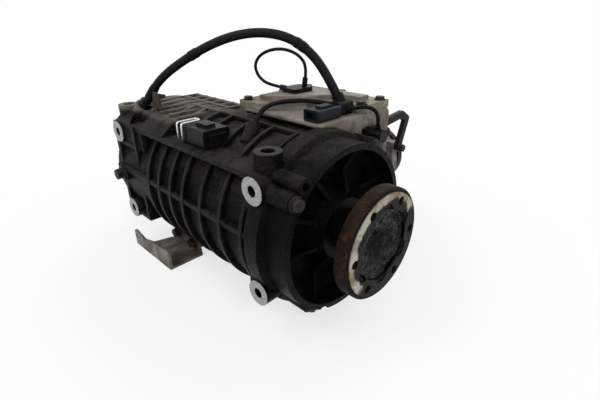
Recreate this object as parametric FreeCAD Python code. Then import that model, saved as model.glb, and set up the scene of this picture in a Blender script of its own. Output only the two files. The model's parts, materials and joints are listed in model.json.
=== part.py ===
import FreeCAD, Part
import math
import os

from FreeCAD import Vector

os.makedirs("parts", exist_ok=True)

# Rear axle final drive with a locking clutch, in millimetres.
# The origin is the centre of the right output flange's face. +X points out of
# that flange along the axle, +Y towards the input flange and +Z up.

# Driving dimensions of the barrel and its covers
BARREL_R = 84.0            # outside of the ribbed barrel
WALL = 8.0                 # casting wall
CASE_RIGHT = -78.0         # joint face between barrel and end bell
CASE_LEFT = -350.0         # joint face between barrel and left cover
JOINT_RIM = 6.0            # how far the joint rims stand out of the barrel
JOINT_T = 9.0
BELL_RIM = -40.0           # open rim of the end bell
BELL_WEB = 8.0             # web at the bottom of the end bell
BELL_WALL = 6.0
COVER_T = 9.0              # left cover
RIB_H = 5.0                # height of the ribs above the barrel
RIB_T = 4.5                # thickness of the ribs
FIRST_RIB = -94.0
WIDE_PITCH = 33.0          # spacing of the four ribs nearest the end bell
WIDE_RIBS = 4
CLOSE_PITCH = 25.0         # spacing of the ribs over the clutch
CLOSE_RIBS = 3

# Driving dimensions of the deck on top
DECK_Z = BARREL_R - 2.5
DECK_BACK = 42.0
DECK_FRONT = 22.0 - BARREL_R   # front edge of the deck over the clutch
DECK_STEP_X = -236.0       # where the deck's front edge steps back
DECK_RIB_H = 3.5
DECK_RIBS = 8
LONG_RIB_Y = -12.0         # rib along the top of the case

# Driving dimensions of the front lugs, eyes and rails
FRONT_Y = 1.0 - BARREL_R   # machined faces of the four front lugs
LUG_R = 13.0
LUG_HOLE_R = 5.25
LUG_DEPTH = 26.0
LUG_HOLE_DEPTH = 20.0
LUG_RIGHT = -80.0
LUG_SPAN = 261.0
LUG_TOP = BARREL_R - 29.0
LUG_DROP = 2 * BARREL_R - 62.0
RAIL_T = 5.0
MID_RAIL_Z = 10.0
MID_RAIL_OUT = 4.0
EYE_R = 12.5               # upright mounting eyes at the front corners
EYE_HOLE_R = 6.5
EYE_RIGHT_X = -82.0
EYE_LEFT_X = -346.0
EYE_Y = 23.0 - BARREL_R
EYE_TOP = BARREL_R + 1.0
EYE_LENGTH = 36.0
EYE_HOLE_DEPTH = 30.0
EYE_RELIEF = 1.5           # height of the groove at the bottom of the eye's hole
POCKET_R = 17.0

# Driving dimensions of the pinion carrier and its cover
PAD_Y = 45.0               # joint face between case and pinion carrier
PAD_X0 = -214.0
PAD_X1 = -84.0
PAD_Z = BARREL_R - 18.0
PAD_RIM = 12.0
PAD_BOLT_ROW = 32.0        # middle rows of bolts, above and below the axle
CARRIER_BACK = 124.0
CARRIER_TOP = BARREL_R + 8.0
SADDLE_X0 = -166.0
SADDLE_FRONT = -8.0
SADDLE_BACK = 6.0
COVER_X0 = -205.0
COVER_X1 = -82.0
COVER_STEP = 8.0           # lower step of the cover
COVER_TOP_STEP = 5.0
COVER_SHOULDER_Y = 70.0    # front edge of the cover beside the connector
NOSE_R = 44.0
NOSE_END = 190.0
INNER_CUP_Y = 78.0         # inner bearing of the pinion

# Driving dimensions of the gears
CENTRE_X = -150.0          # crossing of the axle and pinion axes
RING_TEETH = 37
PINION_TEETH = 11
RING_R = 60.0              # pitch radius at the large end
RING_FACE = 17.0
SIDE_TEETH = 14
SPIDER_TEETH = 10
SIDE_R = 20.0
SIDE_FACE = 8.5
PRESSURE_ANGLE = 25.0
BACKLASH = 0.5
LONG_TOOTH = 0.8           # addendum, in modules, beyond which teeth are made thicker

# Driving dimensions of the differential case and shafts
CROSS_PIN_R = 6.0
DIFF_R = 37.0
DIFF_WINDOW = 17.0          # half width of its two windows
RING_FLANGE_R = 54.0
RING_BOLTS = 8
RING_BOLT_CIRCLE = 47.0
SIDE_BACK = 27.0           # thrust faces of the four inner gears, from the centre
SPIDER_BACK = 29.0
TRUNNION_R = 20.0
SHAFT_R = 14.0
SPLINE_R = 9.0             # shaft end inside the side gear
SLEEVE_R = 18.0            # seal land beside the flange
FLANGE_R = 54.0
FLANGE_T = 13.0
FLANGE_PCD = 86.0
FLANGE_HOLES = 6
FLANGE_HOLE_R = 4.2
FLANGE_HOLE_START = 60.0   # angle of the first hole
CUP_R = 35.0
CUP_DEPTH = 14.0
GASKET_T = 1.2
LEFT_FACE = -410.0         # face of the left output flange
PINION_SHAFT_R = 13.0
INPUT_R = 38.0
INPUT_FACE = 212.0
INPUT_T = 9.0
INPUT_PCD = 58.0
INPUT_HOLES = 4
INPUT_HOLE_R = 4.1

# Driving dimensions of the bearings and seals
CUP_OUTER_R = 35.0         # taper bearings beside the differential case
CUP_T = 15.0
BALL_OUTER_R = 25.0        # ball bearings on the output shafts
BALL_T = 11.0
BALLS = 9
SEAL_R = 25.0
SEAL_T = 8.0
PINION_CUP_R = 33.0
PINION_CUP_T = 17.0
ROLLERS = 14

# Driving dimensions of the clutch
DRUM_R = 64.0
DRUM_WALL = 4.0
DRUM_RIGHT = -226.0
DRUM_LENGTH = 60.0
PLATE_T = 2.0
PLATE_PAIRS = 5
PLATE_GAP = 0.4
HUB_R = 36.0
PRESSURE_T = 8.0
PRESSURE_TRAVEL = 1.2
COIL_T = 22.0
COIL_INNER = 40.0
DRUM_END = 5.0             # end wall of the drum

# Clearances and fasteners
SEAT = 0.3                 # seats between separate castings
RUN = 0.06                 # running clearance on a radius
FREE = 0.6                 # clear air round a turning piece
BOLT_R = 4.0
HEAD_R = 6.5
HEAD_H = 5.0
WASHER_T = 1.5
SMALL_BOLT_R = 3.0
SMALL_HEAD_R = 5.0
SMALL_BOLT_L = 12.0
COVER_BOLT_SINK = 3.0
BELL_BOLTS = (47.0, 143.5, 247.0, 318.0)
LONG_BELL_BOLT = 1
BELL_BOLT_CIRCLE = BARREL_R + 5.0
BOSS_R = 8.5
BOSS_END = -58.0
LONG_BOSS_END = -40.0
SIDE_BOSS = (23.0 - BARREL_R, BARREL_R - 19.5)
SIDE_BOSS_END = -38.0
SPOT_R = 7.8               # spot faces under the bell bolts
COVER_BOLTS = 8
COVER_BOLT_CIRCLE = BARREL_R - 4.0

# Bracket under the case
BRACKET_X0 = -343.0
BRACKET_X1 = -250.0
BRACKET_FRONT = -BARREL_R - 4.0
BRACKET_FLOOR = -BARREL_R - 23.0
BRACKET_T = 3.5
BRACKET_BACK = -40.0
BRACKET_LIP = 4.0 - BARREL_R
BRACKET_BOLT_Z = -BARREL_R - 7.0

# Loop bracket beside the nose
LOOP_X = -104.0
LOOP_T = 6.0
LOOP_W = 9.0
LOOP_FOOT_T = 4.0
LOOP_ROUTE = ((128.8, 62.0), (184.0, 68.0), (197.0, 60.0), (184.0, 24.0))

# Plug in the front wall
PLUG_X = -338.0
PLUG_Z = 2.0
PLUG_R = 7.0
PLUG_SEAT = -BARREL_R - 4.3

# Connectors on the front rail and the pinion carrier
CONNECTOR_X = -163.0       # closed end of the front connector
CONNECTOR_L = 39.0
CONNECTOR_H = 19.0
CLIP_WIRE_R = 1.1
REAR_CONNECTOR_X = -99.0
REAR_CONNECTOR_W = 20.0
REAR_CONNECTOR_H = 12.0
BOOT_W = 16.0
BOOT_H = 14.0

# Gland and grommet of the cords
GLAND_R = 8.0
GROMMET_R = 5.0

# Cords
HARNESS_R = 4.75
LEAD_R = 2.5
SENSOR_LEAD_R = 2.0
VENT_R = 1.8
HARNESS_ROUTE = (
    (-314.0, -51.0, 91.0), (-302.0, -45.5, 108.0), (-286.0, -37.0, 124.0), (-262.0, -25.0, 140.0),
    (-232.0, -10.0, 156.5), (-204.0, 5.0, 167.0), (-176.0, 19.0, 170.5), (-151.0, 32.0, 166.0),
    (-131.0, 42.0, 153.0), (-116.0, 49.0, 134.0), (-104.5, 54.5, 111.5),
)
LEFT_LEAD_ROUTE = (
    (-143.0, -24.0, 90.0), (-143.5, -17.0, 99.0), (-145.0, -4.0, 104.0), (-145.5, 11.0, 104.5),
    (-143.0, 26.0, 104.0), (-134.5, 39.5, 103.5), (-122.5, 49.5, 102.0), (-110.0, 55.5, 100.5),
)
RIGHT_LEAD_ROUTE = (
    (-88.0, 58.0, 99.0), (-79.0, 61.0, 101.5), (-72.0, 67.0, 101.5), (-69.0, 75.0, 97.0),
    (-69.0, 81.0, 89.0), (-70.0, 83.0, 79.0),
)
VENT_ROUTE = (
    (-187.0, 53.0, 109.5), (-198.0, 51.0, 110.5), (-209.5, 48.0, 113.0), (-219.0, 45.5, 120.5),
    (-223.0, 45.0, 132.0), (-216.5, 48.0, 143.0), (-203.0, 54.0, 149.5), (-187.0, 61.5, 150.5),
    (-172.5, 68.5, 144.5), (-164.5, 72.5, 133.0), (-166.0, 72.0, 120.0),
)

AXES = {"X": Vector(1, 0, 0), "Y": Vector(0, 1, 0), "Z": Vector(0, 0, 1)}

# Sizes that follow from the driving dimensions
CASE_BORE = BARREL_R - WALL
RIB_TOP = BARREL_R + RIB_H
LUG_X = (LUG_RIGHT, LUG_RIGHT - LUG_SPAN)
LUG_Z = (LUG_TOP, LUG_TOP - LUG_DROP)
FRONT_TOP = LUG_TOP + LUG_R
FRAME_X = CASE_LEFT + 47.0
CARRIER_END = CASE_RIGHT - 3.0 - CUP_T     # right end of the differential case's shoulder
LEFT_WEB_RIGHT = DRUM_RIGHT + 14.0 + CUP_T
LEFT_WEB_LEFT = DRUM_RIGHT + 10.0
COVER_Z = CARRIER_TOP + COVER_STEP + COVER_TOP_STEP
OUTER_CUP_Y = NOSE_END - SEAL_T - PINION_CUP_T
DIFF_LEFT = LEFT_WEB_RIGHT + 1.0
HUB_END = BELL_RIM - 4.0
LEFT_HUB_END = CASE_LEFT - COVER_T - 12.0
DRUM_LEFT = DRUM_RIGHT - DRUM_LENGTH
PINION_R = RING_R * PINION_TEETH / RING_TEETH
SPIDER_R = SIDE_R * SPIDER_TEETH / SIDE_TEETH
RING_BACK = CENTRE_X + PINION_R + 11.0
SPIDER_PHASE = 180.0 / SPIDER_TEETH
PACK_START = DRUM_RIGHT - DRUM_END - 1.0   # right side of the plates
PACK_LENGTH = PLATE_PAIRS * 2 * (PLATE_T + PLATE_GAP)
PRESSURE_RIGHT = PACK_START - PACK_LENGTH - PRESSURE_TRAVEL - SEAT
COIL_RIGHT = DRUM_LEFT - 4.0
GLAND_AXIS = (Vector(*HARNESS_ROUTE[1]) - Vector(*HARNESS_ROUTE[0])).normalize()
GROMMET_AXIS = (Vector(*LEFT_LEAD_ROUTE[1]) - Vector(*LEFT_LEAD_ROUTE[0])).normalize()


def at(axis, along, first, second):
    """Point from its place along an axis and the two other coordinates in order."""
    if axis == "X":
        return Vector(along, first, second)
    if axis == "Y":
        return Vector(first, along, second)
    return Vector(first, second, along)


def rod(axis, radius, start, end, first=0.0, second=0.0):
    low = min(start, end)
    return Part.makeCylinder(radius, abs(end - start), at(axis, low, first, second), AXES[axis])


def pipe(axis, outer, inner, start, end, first=0.0, second=0.0):
    return rod(axis, outer, start, end, first, second).cut(rod(axis, inner, start, end, first, second))


def block(x0, x1, y0, y1, z0, z1):
    return Part.makeBox(x1 - x0, y1 - y0, z1 - z0, Vector(x0, y0, z0))


def soft_block(x0, x1, y0, y1, z0, z1, radius, axis):
    """Block whose edges along one axis are rounded."""
    solid = block(x0, x1, y0, y1, z0, z1)
    edges = []
    for edge in solid.Edges:
        run = edge.Vertexes[1].Point.sub(edge.Vertexes[0].Point)
        if abs(abs(run.dot(AXES[axis])) - edge.Length) < 1e-6:
            edges.append(edge)
    return solid.makeFillet(radius, edges)


def plate(axis, points, start, end):
    """Flat plate from an outline of (first, second) points, thick from start to end."""
    corners = [at(axis, start, first, second) for first, second in points]
    face = Part.Face(Part.makePolygon(corners + [corners[0]]))
    return face.extrude(AXES[axis] * (end - start))


def turned(points, axis="X", first=0.0, second=0.0):
    """Ring turned about an axis from (along, radius) points."""
    corners = [at(axis, along, radius, 0.0) for along, radius in points]
    face = Part.Face(Part.makePolygon(corners + [corners[0]]))
    ring = face.revolve(Vector(0, 0, 0), AXES[axis], 360)
    ring.translate(at(axis, 0.0, first, second))
    return ring


def hexagon(axis, radius, start, end, first=0.0, second=0.0):
    corners = []
    for step in range(6):
        angle = math.radians(60 * step + 30)
        corners.append((first + radius * math.cos(angle), second + radius * math.sin(angle)))
    return plate(axis, corners, start, end)


def fuse(solids):
    if len(solids) == 1:
        return solids[0]
    return solids[0].fuse(solids[1:]).removeSplitter()


def group(solids):
    return Part.makeCompound(solids)


def save(name, shape):
    shape.exportStep("parts/" + name + ".step")


def around(angle, radius):
    """Y and Z of a point on a circle about the axle; 0 degrees is +Y, 90 is +Z."""
    return radius * math.cos(math.radians(angle)), radius * math.sin(math.radians(angle))


def ring_of(count, radius, offset=0.0):
    return [around(offset + index * 360.0 / count, radius) for index in range(count)]


def hex_bolt(axis, start, seat, side, first, second, radius=BOLT_R, head=HEAD_R):
    """Shank from start to its seat, with a washer face and hex head beyond the seat."""
    shank = rod(axis, radius, start, seat, first, second)
    washer = rod(axis, head * 1.25, seat, seat + side * WASHER_T, first, second)
    top = seat + side * (WASHER_T + HEAD_H)
    return fuse([shank, washer, hexagon(axis, head, seat, top, first, second)])


# Bevel gears

def half_tooth(height, pitch_radius, thickness, angle):
    """Half thickness of an involute tooth at a height over its pitch circle."""
    base = pitch_radius * math.cos(angle)
    reach = max(pitch_radius + height, base * 1.0001)
    turn = math.acos(base / reach)
    half = thickness / (2 * pitch_radius) + math.tan(angle) - angle - math.tan(turn) + turn
    return half * (pitch_radius + height)


def bevel_gear(teeth, mate_teeth, radius, face, addendum, dedendum, bore, reach, phase):
    """Straight bevel gear on +Z with its apex at the origin.

    The addendum and the dedendum are in modules.

    Each tooth is an involute section on the back cone that shrinks towards the
    apex, so that all of its long edges run through the apex. reach is how far the
    hub goes on behind the large end.
    """
    mate_radius = radius * mate_teeth / teeth
    cone = math.atan2(radius, mate_radius)
    length = math.hypot(radius, mate_radius)
    along = Vector(math.sin(cone), 0, math.cos(cone))
    outward = Vector(math.cos(cone), 0, -math.sin(cone))
    module = 2 * radius / teeth
    thickness = module * (math.pi / 2 + LONG_TOOTH * (addendum - LONG_TOOTH)) - BACKLASH
    small = (length - face) / length
    root = -dedendum * module
    tip = addendum * module
    heights = [root, root / 2, 0.0, tip / 2, tip]
    angle = math.radians(PRESSURE_ANGLE)
    widths = [half_tooth(height, radius / math.cos(cone), thickness, angle) for height in heights]
    outline = [(root - 0.3 * module, widths[0])] + list(zip(heights, widths))

    def section(scale):
        points = []
        for side, rows in ((1, outline), (-1, list(reversed(outline)))):
            for height, half in rows:
                middle = along * length + outward * height
                points.append(middle * scale + Vector(0, side * half * scale, 0))
        return Part.makePolygon(points + [points[0]])

    tooth = Part.makeLoft([section(1.0), section(small)], True, True)
    large = along * length + outward * root
    inner = large * small
    back = large + outward * (root * 0.6)
    foot = along * (length + 0.4 * module) + outward * (root * 1.6)
    top_z = max(large.z, back.z, foot.z) + reach
    profile = [(inner.z, bore), (inner.z, inner.x), (large.z, large.x)]
    profile += [(top_z - reach * 0.5, back.x), (top_z, back.x - 1.0), (top_z, bore)]
    solids = [turned(profile, "Z")]
    for index in range(teeth):
        copy = tooth.copy()
        copy.rotate(Vector(0, 0, 0), Vector(0, 0, 1), phase + index * 360.0 / teeth)
        solids.append(copy)
    return fuse(solids)


def facing(shape, direction, centre):
    """Turn a gear made on +Z to another direction, then move its apex."""
    moved = shape.copy()
    moved.Placement = FreeCAD.Placement(centre, FreeCAD.Rotation(Vector(0, 0, 1), direction))
    return moved


# Cords

def cord(name, route, radius):
    """Tube of straight runs and tangent arcs; prints its radii and its volume."""
    points = [Vector(*point) for point in route]
    runs = [points[i + 1].sub(points[i]) for i in range(len(points) - 1)]
    edges, radii = [], []
    here = points[0]
    for index in range(1, len(points) - 1):
        back, on = runs[index - 1], runs[index]
        turn = back.getAngle(on)
        shorter = min(back.Length, on.Length)
        trim = 0.45 * shorter
        radii.append(trim / math.tan(turn / 2))
        start = points[index] - back.normalize() * trim
        end = points[index] + Vector(on).normalize() * trim
        runs[index] = points[index + 1].sub(points[index])
        inward = (start + end) * 0.5 - points[index]
        depth = radii[-1] / math.cos(turn / 2) - radii[-1]
        middle = points[index] + inward.normalize() * depth
        edges.append(Part.LineSegment(here, start).toShape())
        edges.append(Part.Arc(start, middle, end).toShape())
        here = end
    edges.append(Part.LineSegment(here, points[-1]).toShape())
    path = Part.Wire(edges)
    ring = Part.Wire(Part.makeCircle(radius, points[0], points[1].sub(points[0])))
    tube = path.makePipeShell([ring], True, False)
    ratio = tube.Volume / (math.pi * radius * radius * path.Length)
    print(name, "radii", [round(value) for value in radii], "volume ratio", round(ratio, 4))
    print(name, "length", round(path.Length, 1))
    save(name, tube)


# Castings

def barrel_ribs():
    solids = []
    xs = [FIRST_RIB - WIDE_PITCH * index for index in range(WIDE_RIBS)]
    xs += [xs[-1] - CLOSE_PITCH * (index + 1) for index in range(CLOSE_RIBS)]
    for x in xs:
        ring = rod("X", RIB_TOP, x - RIB_T / 2, x + RIB_T / 2)
        solids.append(ring.common(block(x - RIB_T, x + RIB_T, -RIB_TOP, LONG_RIB_Y, MID_RAIL_Z, RIB_TOP)))
        solids.append(ring.common(block(x - RIB_T, x + RIB_T, -RIB_TOP, PAD_Y - 6, -RIB_TOP, MID_RAIL_Z)))
    return solids


def deck():
    """Flat top of the case with its grid of ribs."""
    x0, x1 = CASE_LEFT + JOINT_T, SADDLE_X0 - SEAT
    solids = [soft_block(x0, DECK_STEP_X, DECK_FRONT, DECK_BACK, 20, DECK_Z, 6, "X")]
    solids.append(block(DECK_STEP_X - 10, COVER_X0 - SEAT, LONG_RIB_Y, DECK_BACK - 4, 20, DECK_Z))
    solids.append(block(DECK_STEP_X - 10, x1, LONG_RIB_Y, SADDLE_BACK - SEAT, 20, DECK_Z))
    step = (DECK_STEP_X - x0 - RIB_T) / (DECK_RIBS - 3)
    for index in range(DECK_RIBS - 2):
        x = x0 + index * step
        solids.append(block(x, x + RIB_T, DECK_FRONT + 8, DECK_BACK - 6, DECK_Z, DECK_Z + DECK_RIB_H))
    for y in (LONG_RIB_Y + 24, DECK_BACK - 12):
        solids.append(block(x0, DECK_STEP_X - 4, y, y + RIB_T, DECK_Z, DECK_Z + DECK_RIB_H))
    rib_top = RIB_TOP - 1
    half = RIB_T / 2
    solids.append(block(DECK_STEP_X - 40, CASE_RIGHT - 2, LONG_RIB_Y - half, LONG_RIB_Y + half, 60, rib_top))
    return solids


def front_frame():
    """Rails, end plates and webs that tie the four lugs together."""
    low = LUG_Z[1] - 8
    solids = [block(LUG_X[1], LUG_X[0], FRONT_Y + 3, EYE_Y + 10, FRONT_TOP - RAIL_T, FRONT_TOP)]
    half = RAIL_T / 2
    out = -BARREL_R - MID_RAIL_OUT
    solids.append(block(CASE_LEFT, LUG_X[0], out, -60, MID_RAIL_Z - half, MID_RAIL_Z + half))
    solids.append(block(CASE_LEFT, CASE_LEFT + 7, FRONT_Y, -20, low, FRONT_TOP))
    solids.append(block(FRAME_X, FRAME_X + RIB_T, FRONT_Y + 1, -40, low + 8, FRONT_TOP))
    for z in (LUG_TOP - 16, LUG_Z[1] - 6):
        solids.append(block(CASE_LEFT, FRAME_X + RIB_T, FRONT_Y + 2, -40, z, z + RAIL_T))
    solids.append(block(LUG_RIGHT - 13, CASE_RIGHT, FRONT_Y + 2, -40, LUG_Z[1], FRONT_TOP))
    web = [(LUG_RIGHT, LUG_Z[1]), (LUG_RIGHT, MID_RAIL_Z), (LUG_RIGHT - 36, MID_RAIL_Z)]
    solids.append(plate("Y", web, FRONT_Y + 4, -60))
    corner = block(CASE_LEFT, FRAME_X + 18, FRONT_Y + 4, DECK_FRONT + 6, 40, FRONT_TOP)
    sloped = plate("X", [(FRONT_Y + 4, FRONT_TOP), (DECK_FRONT, DECK_Z), (DECK_FRONT + 8, FRONT_TOP)],
                   CASE_LEFT, DECK_STEP_X)
    pocket = rod("Z", POCKET_R, FRONT_TOP - 10, DECK_Z + 1, CASE_LEFT + 46, FRONT_Y + POCKET_R + 3)
    solids.append(fuse([corner, sloped]).cut(pocket))
    return solids


def lug_places():
    return [(x, z) for x in LUG_X for z in LUG_Z]


def pad_places():
    inset = PAD_RIM / 2
    rows = (inset - PAD_Z, -PAD_BOLT_ROW, PAD_BOLT_ROW, PAD_Z - inset)
    return [(x, z) for x in (PAD_X0 + inset, PAD_X1 - inset) for z in rows]


def bracket_places():
    middle = (BRACKET_X0 + BRACKET_X1) / 2 + 12
    return [(middle - 20, BRACKET_BOLT_Z), (middle + 20, BRACKET_BOLT_Z)]


def lug_cylinders(extra):
    """Lugs and eyes as plain cylinders, larger by extra; the covers are relieved for them."""
    solids = []
    for x, z in lug_places():
        solids.append(rod("Y", LUG_R + extra, FRONT_Y - extra, FRONT_Y + LUG_DEPTH + extra, x, z))
    for x in (EYE_RIGHT_X, EYE_LEFT_X):
        solids.append(rod("Z", EYE_R + extra, EYE_TOP - EYE_LENGTH - extra, EYE_TOP + extra, x, EYE_Y))
    return solids


def case_bolts():
    """Angle and inner end of the bell bolts that reach into the case."""
    places = []
    for index, angle in enumerate(BELL_BOLTS):
        y, z = around(angle, BELL_BOLT_CIRCLE)
        behind = y > PAD_Y - BOSS_R
        if index != LONG_BELL_BOLT:
            places.append((y, z, PAD_X1 + 1 if behind else CASE_RIGHT - 16))
    return places


def along_axis(base, axis, radius, start, end):
    """Cylinder on a slanting axis, from start to end along it."""
    return Part.makeCylinder(radius, end - start, base + axis * start, axis)


def ribbed_case():
    solids = [rod("X", BARREL_R, CASE_LEFT, CASE_RIGHT)]
    solids.append(rod("X", BARREL_R + JOINT_RIM, CASE_RIGHT - JOINT_T, CASE_RIGHT))
    solids += barrel_ribs() + deck() + front_frame() + lug_cylinders(0.0)
    for y, z, end in case_bolts():
        solids.append(rod("X", BOSS_R, end - 6, CASE_RIGHT, y, z))
    solids.append(rod("X", BOSS_R - 1, CASE_RIGHT - 14, CASE_RIGHT, *SIDE_BOSS))
    solids.append(block(PAD_X0, PAD_X1, 0, PAD_Y, -PAD_Z, PAD_Z))
    (x0, z), (x1, z) = bracket_places()
    solids.append(soft_block(x0 - 11, x1 + 11, BRACKET_BACK, -8, z - 8, -60, 5, "Y"))
    gland_base, grommet_base = Vector(*HARNESS_ROUTE[0]), Vector(*LEFT_LEAD_ROUTE[0])
    solids.append(along_axis(gland_base, GLAND_AXIS, GLAND_R + 3, -29, -7))
    solids.append(along_axis(grommet_base, GROMMET_AXIS, GROMMET_R + 2, -22, -1))
    solids.append(rod("Y", PLUG_R + 4, PLUG_SEAT, -50, PLUG_X, PLUG_Z))
    body = fuse(solids)
    frame_inside = rod("X", CASE_BORE, PAD_X1 - PAD_RIM, PAD_X1).cut(
        rod("X", CUP_OUTER_R + 9, PAD_X1 - PAD_RIM, PAD_X1))
    pad_frame = frame_inside.common(block(PAD_X1 - PAD_RIM, PAD_X1, 22, PAD_Y, -PAD_Z, PAD_Z))
    cuts = [rod("X", CASE_BORE, CASE_LEFT - 1, LEFT_WEB_LEFT)]
    cuts.append(rod("X", CASE_BORE, LEFT_WEB_RIGHT, CASE_RIGHT + 1).cut(pad_frame))
    cuts.append(rod("X", CUP_OUTER_R + RUN, LEFT_WEB_LEFT + 4, LEFT_WEB_RIGHT + 1))
    cuts.append(rod("X", CUP_OUTER_R - 6, LEFT_WEB_LEFT - 1, LEFT_WEB_LEFT + 5))
    cuts.append(block(PAD_X0 - SEAT, PAD_X1 + SEAT, PAD_Y, RIB_TOP + 10, -RIB_TOP, RIB_TOP + 10))
    cuts.append(block(LEFT_WEB_RIGHT, PAD_X1 - PAD_RIM, 0, PAD_Y + 1, PAD_RIM - PAD_Z, PAD_Z - PAD_RIM))
    for x, z in lug_places():
        cuts.append(rod("Y", LUG_HOLE_R, FRONT_Y - 1, FRONT_Y + LUG_HOLE_DEPTH, x, z))
    for x in (EYE_RIGHT_X, EYE_LEFT_X):
        hole_end = EYE_TOP - EYE_HOLE_DEPTH
        cuts.append(rod("Z", EYE_HOLE_R, hole_end, EYE_TOP + 1, x, EYE_Y))
        cuts.append(rod("Z", EYE_HOLE_R + 0.5, hole_end - EYE_RELIEF, hole_end, x, EYE_Y))
    for y, z, end in case_bolts():
        cuts.append(rod("X", BOLT_R + RUN, end - 1, CASE_RIGHT + 1, y, z))
    for y, z in ring_of(COVER_BOLTS, COVER_BOLT_CIRCLE, 22.5):
        cuts.append(rod("X", SMALL_BOLT_R + RUN, CASE_LEFT - 1, CASE_LEFT + 8, y, z))
    for x, z in pad_places():
        cuts.append(rod("Y", BOLT_R + RUN, PAD_Y - 12, PAD_Y + 1, x, z))
    for x, z in bracket_places():
        cuts.append(rod("Y", BOLT_R + RUN, BRACKET_BACK - 1, BRACKET_BACK + 14, x, z))
    cuts.append(along_axis(gland_base, GLAND_AXIS, GLAND_R + RUN, -20.5, 8))
    cuts.append(along_axis(grommet_base, GROMMET_AXIS, GROMMET_R + RUN, -6.5, 3))
    cuts.append(rod("Y", PLUG_R - 1.5 + RUN, PLUG_SEAT - 1, PLUG_SEAT + 14, PLUG_X, PLUG_Z))
    return body.cut(cuts)


def end_bell():
    web = CASE_RIGHT + BELL_WEB
    inside = BARREL_R - BELL_WALL
    shell = turned([
        (CASE_RIGHT, SHAFT_R + 4), (CASE_RIGHT, BARREL_R + JOINT_RIM), (web, BARREL_R + JOINT_RIM),
        (web + 3, BARREL_R), (BELL_RIM, BARREL_R),
        (BELL_RIM, inside), (web + 8, inside - 2), (web, inside - 10), (web, BALL_OUTER_R + 15),
        (HUB_END, BALL_OUTER_R + 6), (HUB_END, SHAFT_R + 4),
    ])
    solids = [shell, pipe("X", CASE_BORE - SEAT, CASE_BORE - 6, CASE_RIGHT - 5, CASE_RIGHT)]
    solids.append(pipe("X", CUP_OUTER_R + 8, CUP_OUTER_R - 6, CARRIER_END, CASE_RIGHT))
    gussets = []
    for angle in range(0, 360, 45):
        gusset = plate("Z", [(web - 1, BALL_OUTER_R + 2), (web - 1, inside + 1), (web + 16, inside + 1),
                             (web + 6, inside - 24), (HUB_END - 4, BALL_OUTER_R + 2)], -RIB_T / 2, RIB_T / 2)
        gusset.rotate(Vector(0, 0, 0), AXES["X"], angle + 22.5)
        gussets.append(gusset)
    for index, angle in enumerate(BELL_BOLTS):
        solids.append(rod("X", BOSS_R, CASE_RIGHT, bolt_seat(index), *around(angle, BELL_BOLT_CIRCLE)))
    solids.append(rod("X", BOSS_R - 1, CASE_RIGHT, SIDE_BOSS_END, *SIDE_BOSS))
    recess = pipe("X", inside, BALL_OUTER_R + 15, web + 8, BELL_RIM + 1)
    body = fuse([fuse(solids).cut(recess)] + gussets)
    cuts = [rod("X", CUP_OUTER_R + RUN, CARRIER_END - 1, CARRIER_END + CUP_T)]
    cuts.append(rod("X", BALL_OUTER_R + RUN, HUB_END - SEAL_T - BALL_T, HUB_END + 1))
    cuts.append(rod("X", BOLT_R, SIDE_BOSS_END - 16, SIDE_BOSS_END + 1, *SIDE_BOSS))
    y, z = around(BELL_BOLTS[LONG_BELL_BOLT], BELL_BOLT_CIRCLE)
    cuts.append(rod("X", BOLT_R + RUN, LONG_BOSS_END - 24, LONG_BOSS_END + 1, y, z))
    for y, z, end in case_bolts():
        cuts.append(rod("X", BOLT_R + RUN, CASE_RIGHT - 1, BELL_RIM + 1, y, z))
        cuts.append(rod("X", SPOT_R, BOSS_END, BELL_RIM + 1, y, z))
    return body.cut(cuts + lug_cylinders(SEAT))


def bolt_seat(index):
    return LONG_BOSS_END if index == LONG_BELL_BOLT else BOSS_END


def left_cover():
    """Dished cover with ribs and the hub of the left output shaft."""
    outer = CASE_LEFT - COVER_T
    shell = turned([
        (CASE_LEFT, SHAFT_R + 4), (CASE_LEFT, BARREL_R), (outer, BARREL_R),
        (outer, BARREL_R - 6), (outer + 3, BARREL_R - 10), (outer + 3, BALL_OUTER_R + 14),
        (LEFT_HUB_END, BALL_OUTER_R + 6), (LEFT_HUB_END, SHAFT_R + 4),
    ])
    solids = [shell, pipe("X", CASE_BORE - SEAT, CASE_BORE - 6, CASE_LEFT, CASE_LEFT + 5)]
    for angle in range(0, 360, 45):
        rib = plate("Z", [(outer + 4, BALL_OUTER_R + 2), (outer + 4, BARREL_R - 4), (outer - 1, BARREL_R - 4),
                          (LEFT_HUB_END + 3, BALL_OUTER_R + 2)], -RIB_T / 2, RIB_T / 2)
        rib.rotate(Vector(0, 0, 0), AXES["X"], angle)
        solids.append(rib)
    coil_left = COIL_RIGHT - COIL_T
    solids.append(pipe("X", COIL_INNER, COIL_INNER - 5, CASE_LEFT - 1, COIL_RIGHT - 2))
    solids.append(pipe("X", COIL_INNER + 8, COIL_INNER - 5, CASE_LEFT - 1, coil_left - SEAT))
    body = fuse(solids)
    cuts = [rod("X", BALL_OUTER_R + RUN, LEFT_HUB_END - 1, LEFT_HUB_END + SEAL_T + BALL_T)]
    for y, z in ring_of(COVER_BOLTS, COVER_BOLT_CIRCLE, 22.5):
        cuts.append(rod("X", SMALL_BOLT_R + RUN, outer - 1, CASE_LEFT + 1, y, z))
    return body.cut(cuts + lug_cylinders(SEAT))


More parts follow.
